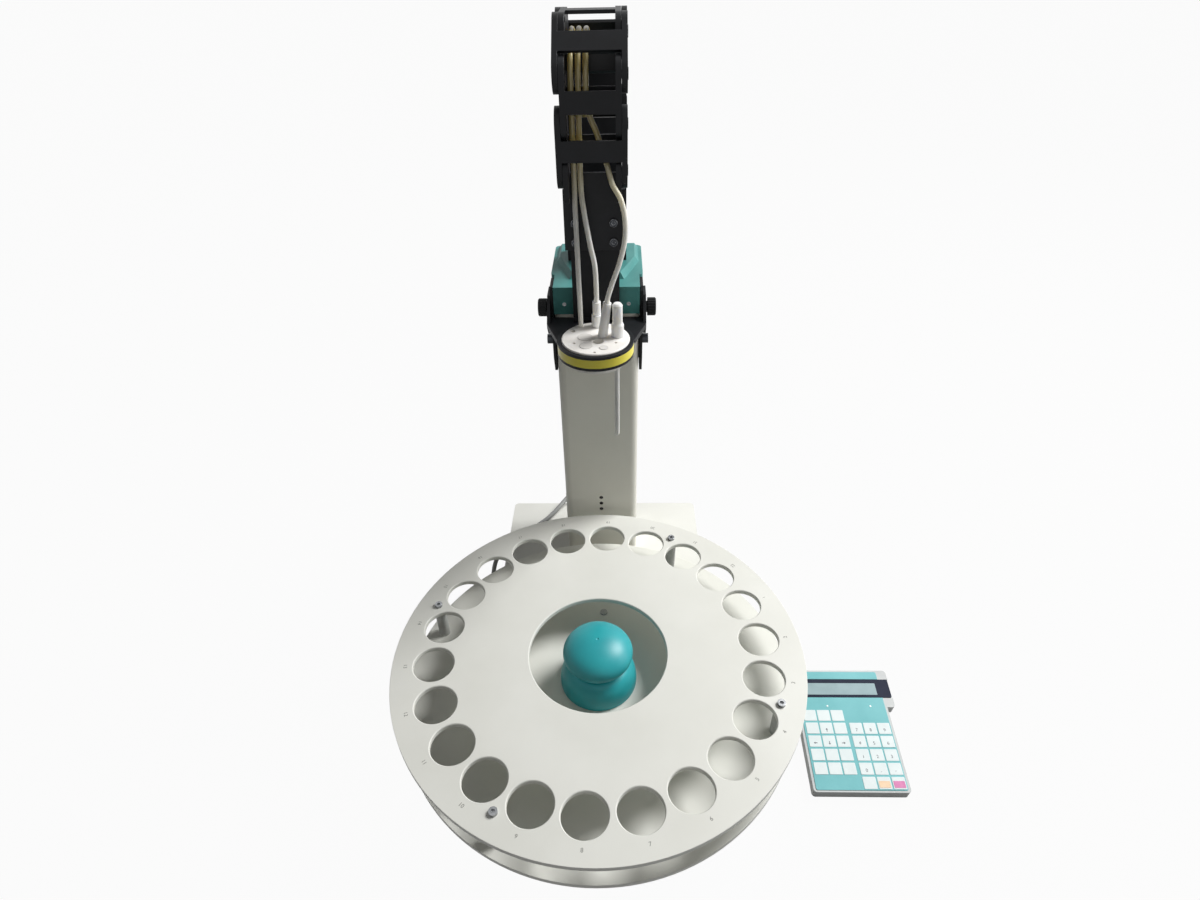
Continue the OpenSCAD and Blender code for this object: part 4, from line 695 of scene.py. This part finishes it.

# Beaker rack
# Two pale moulded plates on four posts of the same plastic, the upper one bored for the beakers.
# Small grey numerals are printed outside the holes and read from the rim.
# The rack's lighter edge colour is a painted highlight on the rims of the plates and holes.
rack_resin = surface("rack_resin", (221, 221, 213), (229, 229, 222),
                     patch=0.10, grain=0.0006, relief=0.00002, gloss=(0.42, 0.56),
                     edge=0.0007, wear_sheen=(240, 240, 236))
# The posts are the plates' plastic in a darker tone: painted shade for the space between the plates.
post_painted_shade = surface("post_painted_shade", (176, 177, 174), (192, 193, 190),
                     patch=0.01, grain=0.0006, relief=0.000005, gloss=(0.4, 0.55))
post_screw_steel = surface("post_screw_steel", (132, 134, 136), (160, 162, 164),
                           patch=0.004, grain=0.0005, relief=0.000004, gloss=(0.22, 0.36), metal=1.0)
dress(rack_resin, "rack_upper_plate", "rack_lower_plate")
dress(post_painted_shade, "rack_posts")
dress(post_screw_steel, "rack_screws")
hole_count = 22
first_hole = 87.4
front_numeral = 8
front_hole = 11
numeral_ring = 0.1965
numeral_size = 0.0052
numeral_lift = 0.00003
numeral_ink = surface("numeral_ink", (128, 128, 122), (142, 142, 136),
                      patch=0.004, grain=0.0008, relief=0.000001, gloss=(0.5, 0.6))
rack_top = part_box("rack_upper_plate")[1].z


def numeral(body, size, thickness):
    """A flat mesh of a number, centred on the origin and read along X."""
    letters = bpy.data.curves.new("numeral", "FONT")
    letters.body = body
    letters.size = size
    letters.align_x = "CENTER"
    letters.align_y = "CENTER"
    letters.extrude = thickness/2
    holder = bpy.data.objects.new("numeral", letters)
    scene.collection.objects.link(holder)
    mesh = bpy.data.meshes.new_from_object(holder.evaluated_get(bpy.context.evaluated_depsgraph_get()))
    bpy.data.objects.remove(holder)
    return mesh


def joined(name, placed, finish):
    """One object from meshes, each with the matrix that puts it in place."""
    shape = bmesh.new()
    for mesh, matrix in placed:
        mesh.transform(matrix)
        shape.from_mesh(mesh)
    mesh = bpy.data.meshes.new(name)
    shape.to_mesh(mesh)
    shape.free()
    mesh.materials.append(finish)
    made = bpy.data.objects.new(name, mesh)
    scene.collection.objects.link(made)
    return made


rack_numerals = []
for number in range(1, hole_count + 1):
    angle = math.radians(first_hole + (front_hole + front_numeral - number)*360/hole_count)
    spot = Vector((numeral_ring*math.cos(angle), numeral_ring*math.sin(angle), rack_top + numeral_lift))
    facing = Matrix.Translation(spot) @ Matrix.Rotation(angle + math.pi/2, 4, "Z")
    rack_numerals.append((numeral(str(number), numeral_size, 2*numeral_lift), facing))
rack_print = joined("rack_numerals", rack_numerals, numeral_ink)
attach(rack_print, "rack")

# Rack handle
# Turned turquoise ball on a waisted foot, in one moulding with a small dimple where it was filled.
# It sits in the rack's eye and lifts the rack off the turntable.
handle_resin = surface("handle_resin", (26, 152, 160), (36, 166, 172),
                       patch=0.03, grain=0.0006, relief=0.00001, gloss=(0.36, 0.44), mirror=0.5)
handle_low, handle_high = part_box("rack_handle")
grip_r = 0.036
grip_h = 0.040
waist_r = 0.024
handle_foot_r = handle_high.x
handle_foot_rim = 0.005
handle_foot_edge = 0.0008
dimple_r = 0.0016
dimple_depth = 0.0008
grip_z = handle_high.z - grip_h/2
waist_turn = math.acos(waist_r/grip_r)
waist_z = grip_z - grip_h/2*math.sin(waist_turn)
dimple_steps = 4
grip_steps = 48
flare_steps = 20
handle_sides = 96
dimple_shares = [k/dimple_steps for k in range(dimple_steps + 1)]
handle_profile = [(dimple_r*share, handle_high.z - dimple_depth*(1 - share**2)) for share in dimple_shares]
grip_start = math.acos(dimple_r/grip_r)
for k in range(1, grip_steps + 1):
    turn = grip_start - k*(grip_start + waist_turn)/grip_steps
    handle_profile.append((grip_r*math.cos(turn), grip_z + grip_h/2*math.sin(turn)))
flare_h = waist_z - handle_low.z - handle_foot_rim
for k in range(1, flare_steps + 1):
    turn = math.pi/2*k/flare_steps
    handle_profile.append((waist_r + (handle_foot_r - waist_r)*math.sin(turn),
                           handle_low.z + handle_foot_rim + flare_h*math.cos(turn)))
handle_profile += [(handle_foot_r, handle_low.z + handle_foot_edge),
                   (handle_foot_r - handle_foot_edge, handle_low.z), (0, handle_low.z)]


def lathe(profile, sides):
    """A builder of a closed turned shape from a profile of radius and height, from top to bottom."""
    def build(shape):
        rings = []
        turns = [2*math.pi*k/sides for k in range(sides)]
        for radius, height in profile:
            ring_turns = turns if radius > 0 else turns[:1]
            rings.append([
                shape.verts.new((radius*math.cos(turn), radius*math.sin(turn), height))
                for turn in ring_turns])
        for upper, lower in zip(rings, rings[1:]):
            for k in range(sides):
                ring = [upper[k % len(upper)], lower[k % len(lower)], lower[(k + 1) % len(lower)],
                        upper[(k + 1) % len(upper)]]
                shape.faces.new(list(dict.fromkeys(ring)))
        bmesh.ops.recalc_face_normals(shape, faces=shape.faces)
    return build


handle_skin = object_from("handle_skin", lathe(handle_profile, handle_sides))
handle_skin.data.shade_smooth()
handle_skin.data.set_sharp_from_angle(angle=math.radians(35))
handle_skin.data.materials.append(handle_resin)
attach(handle_skin, "rack")
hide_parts("rack_handle")

# Keypad
# Flat white case on four pads, tilted to the operator, under a printed turquoise foil with soft keys.
# A dark window over the display is wider than the foil.
case_resin = surface("case_resin", (200, 202, 202), (208, 211, 210),
                     patch=0.03, grain=0.0006, relief=0.00003, gloss=(0.42, 0.56), mirror=0.1)
foil_print = surface("foil_print", (118, 186, 190), (132, 198, 202),
                     patch=0.05, grain=0.0008, relief=0.00001, gloss=(0.4, 0.5), mirror=0.1)
window_glass = surface("window_glass", (38, 42, 56), (46, 50, 66),
                       patch=0.02, grain=0.0009, relief=0.000001, gloss=(0.45, 0.55), mirror=0.05)
dress(case_resin, "keypad_bottom", "keypad_top")
dress(foil_print, "keypad_foil")
dress(window_glass, "display_window")
keypad_tilt = math.radians(7)
keypad_x = (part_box("keypad_top")[0].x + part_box("keypad_top")[1].x)/2
keypad_y = -0.054
keypad_gap = 0.0006
foil_top = 0.0136
keypad_place = (Matrix.Translation((keypad_x, keypad_y, keypad_gap)) @ Matrix.Rotation(keypad_tilt, 4, "X")
                @ Matrix.Translation((0, 0, foil_top)))
key_print = surface("key_print", (224, 233, 233), (232, 240, 240),
                    patch=0.02, grain=0.0007, relief=0.00001, gloss=(0.42, 0.55), mirror=0.1)
key_w, key_l, key_rise, key_corner = 0.0144, 0.0133, 0.0003, 0.0008
key_pitch_x, key_pitch_y = 0.0161, 0.0156
corner_steps = 4
weld_reach = 0.00001

key_tree, given = new_tree("key_field", Columns="Int", Rows="Int", Pitch_X="Float", Pitch_Y="Float",
                           Width="Float", Length="Float", Corner="Float", Rise="Float", Finish="Material")


def spread(count, pitch):
    """Length of a row of keys from the first middle to the last."""
    return reckon(key_tree, "MULTIPLY", reckon(key_tree, "SUBTRACT", count, 1), pitch)


key_places = lay(key_tree, "GeometryNodeMeshGrid", Vertices_X=given["Columns"], Vertices_Y=given["Rows"],
                 Size_X=spread(given["Columns"], given["Pitch X"]),
                 Size_Y=spread(given["Rows"], given["Pitch Y"]))
key_edge = lay(key_tree, "GeometryNodeCurvePrimitiveQuadrilateral", Width=given["Width"],
               Height=given["Length"])
key_round = lay(key_tree, "GeometryNodeFilletCurve", Curve=key_edge.outputs["Curve"],
                Radius=given["Corner"])
key_round.mode = "POLY"
key_round.inputs["Count"].default_value = corner_steps
key_face = lay(key_tree, "GeometryNodeFillCurve", Curve=key_round.outputs["Curve"])
key_sides = lay(key_tree, "GeometryNodeExtrudeMesh", Mesh=key_face.outputs["Mesh"],
                Offset_Scale=given["Rise"], Individual=False)
key_under = lay(key_tree, "GeometryNodeFlipFaces", Mesh=key_face.outputs["Mesh"])
key_parts = key_tree.nodes.new("GeometryNodeJoinGeometry")
key_tree.links.new(key_sides.outputs["Mesh"], key_parts.inputs["Geometry"])
key_tree.links.new(key_under.outputs["Mesh"], key_parts.inputs["Geometry"])
key_whole = lay(key_tree, "GeometryNodeMergeByDistance", Geometry=key_parts.outputs["Geometry"],
                Distance=weld_reach)
keys_set = lay(key_tree, "GeometryNodeInstanceOnPoints", Points=key_places.outputs["Mesh"],
               Instance=key_whole.outputs["Geometry"])
close_tree(key_tree, keys_set.outputs["Instances"], given["Finish"])


def on_keypad(name, middle, size, corner, rise, finish, grid=(1, 1), lift=0.0):
    """Printed or moulded fields on the foil, in a grid of columns and rows about a middle point."""
    piece = made_by(key_tree, name, place=keypad_place @ Matrix.Translation((*middle, lift)), Columns=grid[0],
                    Rows=grid[1], Pitch_X=key_pitch_x, Pitch_Y=key_pitch_y, Width=size[0], Length=size[1],
                    Corner=corner, Rise=rise, Finish=finish)
    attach(piece, "stand")
    return piece


key_grid = (3, 5)
left_u, right_u = -0.0248, 0.0261
left_v, right_v = 0.0569, 0.0413
for side, keys_middle in (("left", (left_u, left_v)), ("right", (right_u, right_v))):
    on_keypad(f"keys_{side}", keys_middle, (key_w, key_l), key_corner, key_rise, key_print, key_grid)

print_rise = 0.0001
print_corner = 0.0006
patch_size = (0.0125, 0.0075)
patch_drop = 0.0015
patch_v = right_v - 2*key_pitch_y - patch_drop
orange_print = surface("orange_print", (240, 206, 170), (246, 216, 184),
                       patch=0.01, grain=0.0007, relief=0.00001, gloss=(0.4, 0.5), mirror=0.1)
pink_print = surface("pink_print", (216, 130, 178), (226, 146, 190),
                     patch=0.01, grain=0.0007, relief=0.00001, gloss=(0.4, 0.5), mirror=0.1)
on_keypad("orange_field", (right_u, patch_v), patch_size, print_corner, print_rise, orange_print,
          lift=key_rise)
on_keypad("pink_field", (right_u + key_pitch_x, patch_v), patch_size, print_corner, print_rise, pink_print,
          lift=key_rise)

lcd_middle = (0.0, 0.1221)
lcd_size = (0.091, 0.0151)
lcd_lift = 0.00002
lcd_panel = surface("lcd_panel", (146, 168, 172), (162, 184, 188),
                    patch=0.03, grain=0.0006, relief=0.000002, gloss=(0.4, 0.5), mirror=0.1)
lcd_field = on_keypad("lcd_panel", lcd_middle, lcd_size, print_corner, print_rise, lcd_panel, lift=lcd_lift)

lamp_d = 0.0022
lamp_rise = 0.0003
lamp_v = 0.100
lamp_resin = surface("lamp_resin", (236, 246, 244), (246, 252, 250),
                     patch=0.005, grain=0.0006, relief=0.00001, gloss=(0.2, 0.3))
for side, lamp_u in (("left", -0.0179), ("right", 0.0332)):
    on_keypad(f"status_lamp_{side}", (lamp_u, lamp_v), (lamp_d, lamp_d), lamp_d/2, lamp_rise, lamp_resin)

digit_ink = surface("digit_ink", (70, 76, 84), (86, 92, 100),
                    patch=0.004, grain=0.0008, relief=0.000001, gloss=(0.5, 0.6))
digit_size = 0.0052
digit_drop = 0.002
digit_rows = [["7", "8", "9"], ["4", "5", "6"], ["1", "2", "3"], ["0", ".", "-"]]
key_digits = []
for row, signs in enumerate(digit_rows):
    for column, sign in enumerate(signs):
        spot = (right_u + (column - 1)*key_pitch_x, right_v + (2 - row)*key_pitch_y - digit_drop,
                key_rise + numeral_lift)
        digit = numeral(sign, digit_size, 2*numeral_lift)
        key_digits.append((digit, keypad_place @ Matrix.Translation(spot)))
arrow_size = 0.0042
arrow_edge = [
    (-0.5, -0.09), (0.05, -0.09), (0.05, -0.32), (0.5, 0.0), (0.05, 0.32), (0.05, 0.09), (-0.5, 0.09)]
arrow_keys = [(-1, 0, 180), (0, 0, 270), (1, 0, 0), (0, 1, 90)]


def arrow():
    """A flat mesh of an arrow that points along X."""
    count = len(arrow_edge)
    points = [(arrow_size*x, arrow_size*y, z) for z in (-numeral_lift, numeral_lift) for x, y in arrow_edge]
    sides = [(k, (k + 1) % count, count + (k + 1) % count, count + k) for k in range(count)]
    mesh = bpy.data.meshes.new("arrow")
    mesh.from_pydata(points, [], [tuple(reversed(range(count))), tuple(range(count, 2*count))] + sides)
    return mesh


for column, row, turn in arrow_keys:
    spot = (left_u + column*key_pitch_x, left_v + row*key_pitch_y - digit_drop, key_rise + numeral_lift)
    arrow_turn = Matrix.Rotation(math.radians(turn), 4, "Z")
    key_digits.append((arrow(), keypad_place @ Matrix.Translation(spot) @ arrow_turn))
digit_print = joined("key_digits", key_digits, digit_ink)
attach(digit_print, "stand")
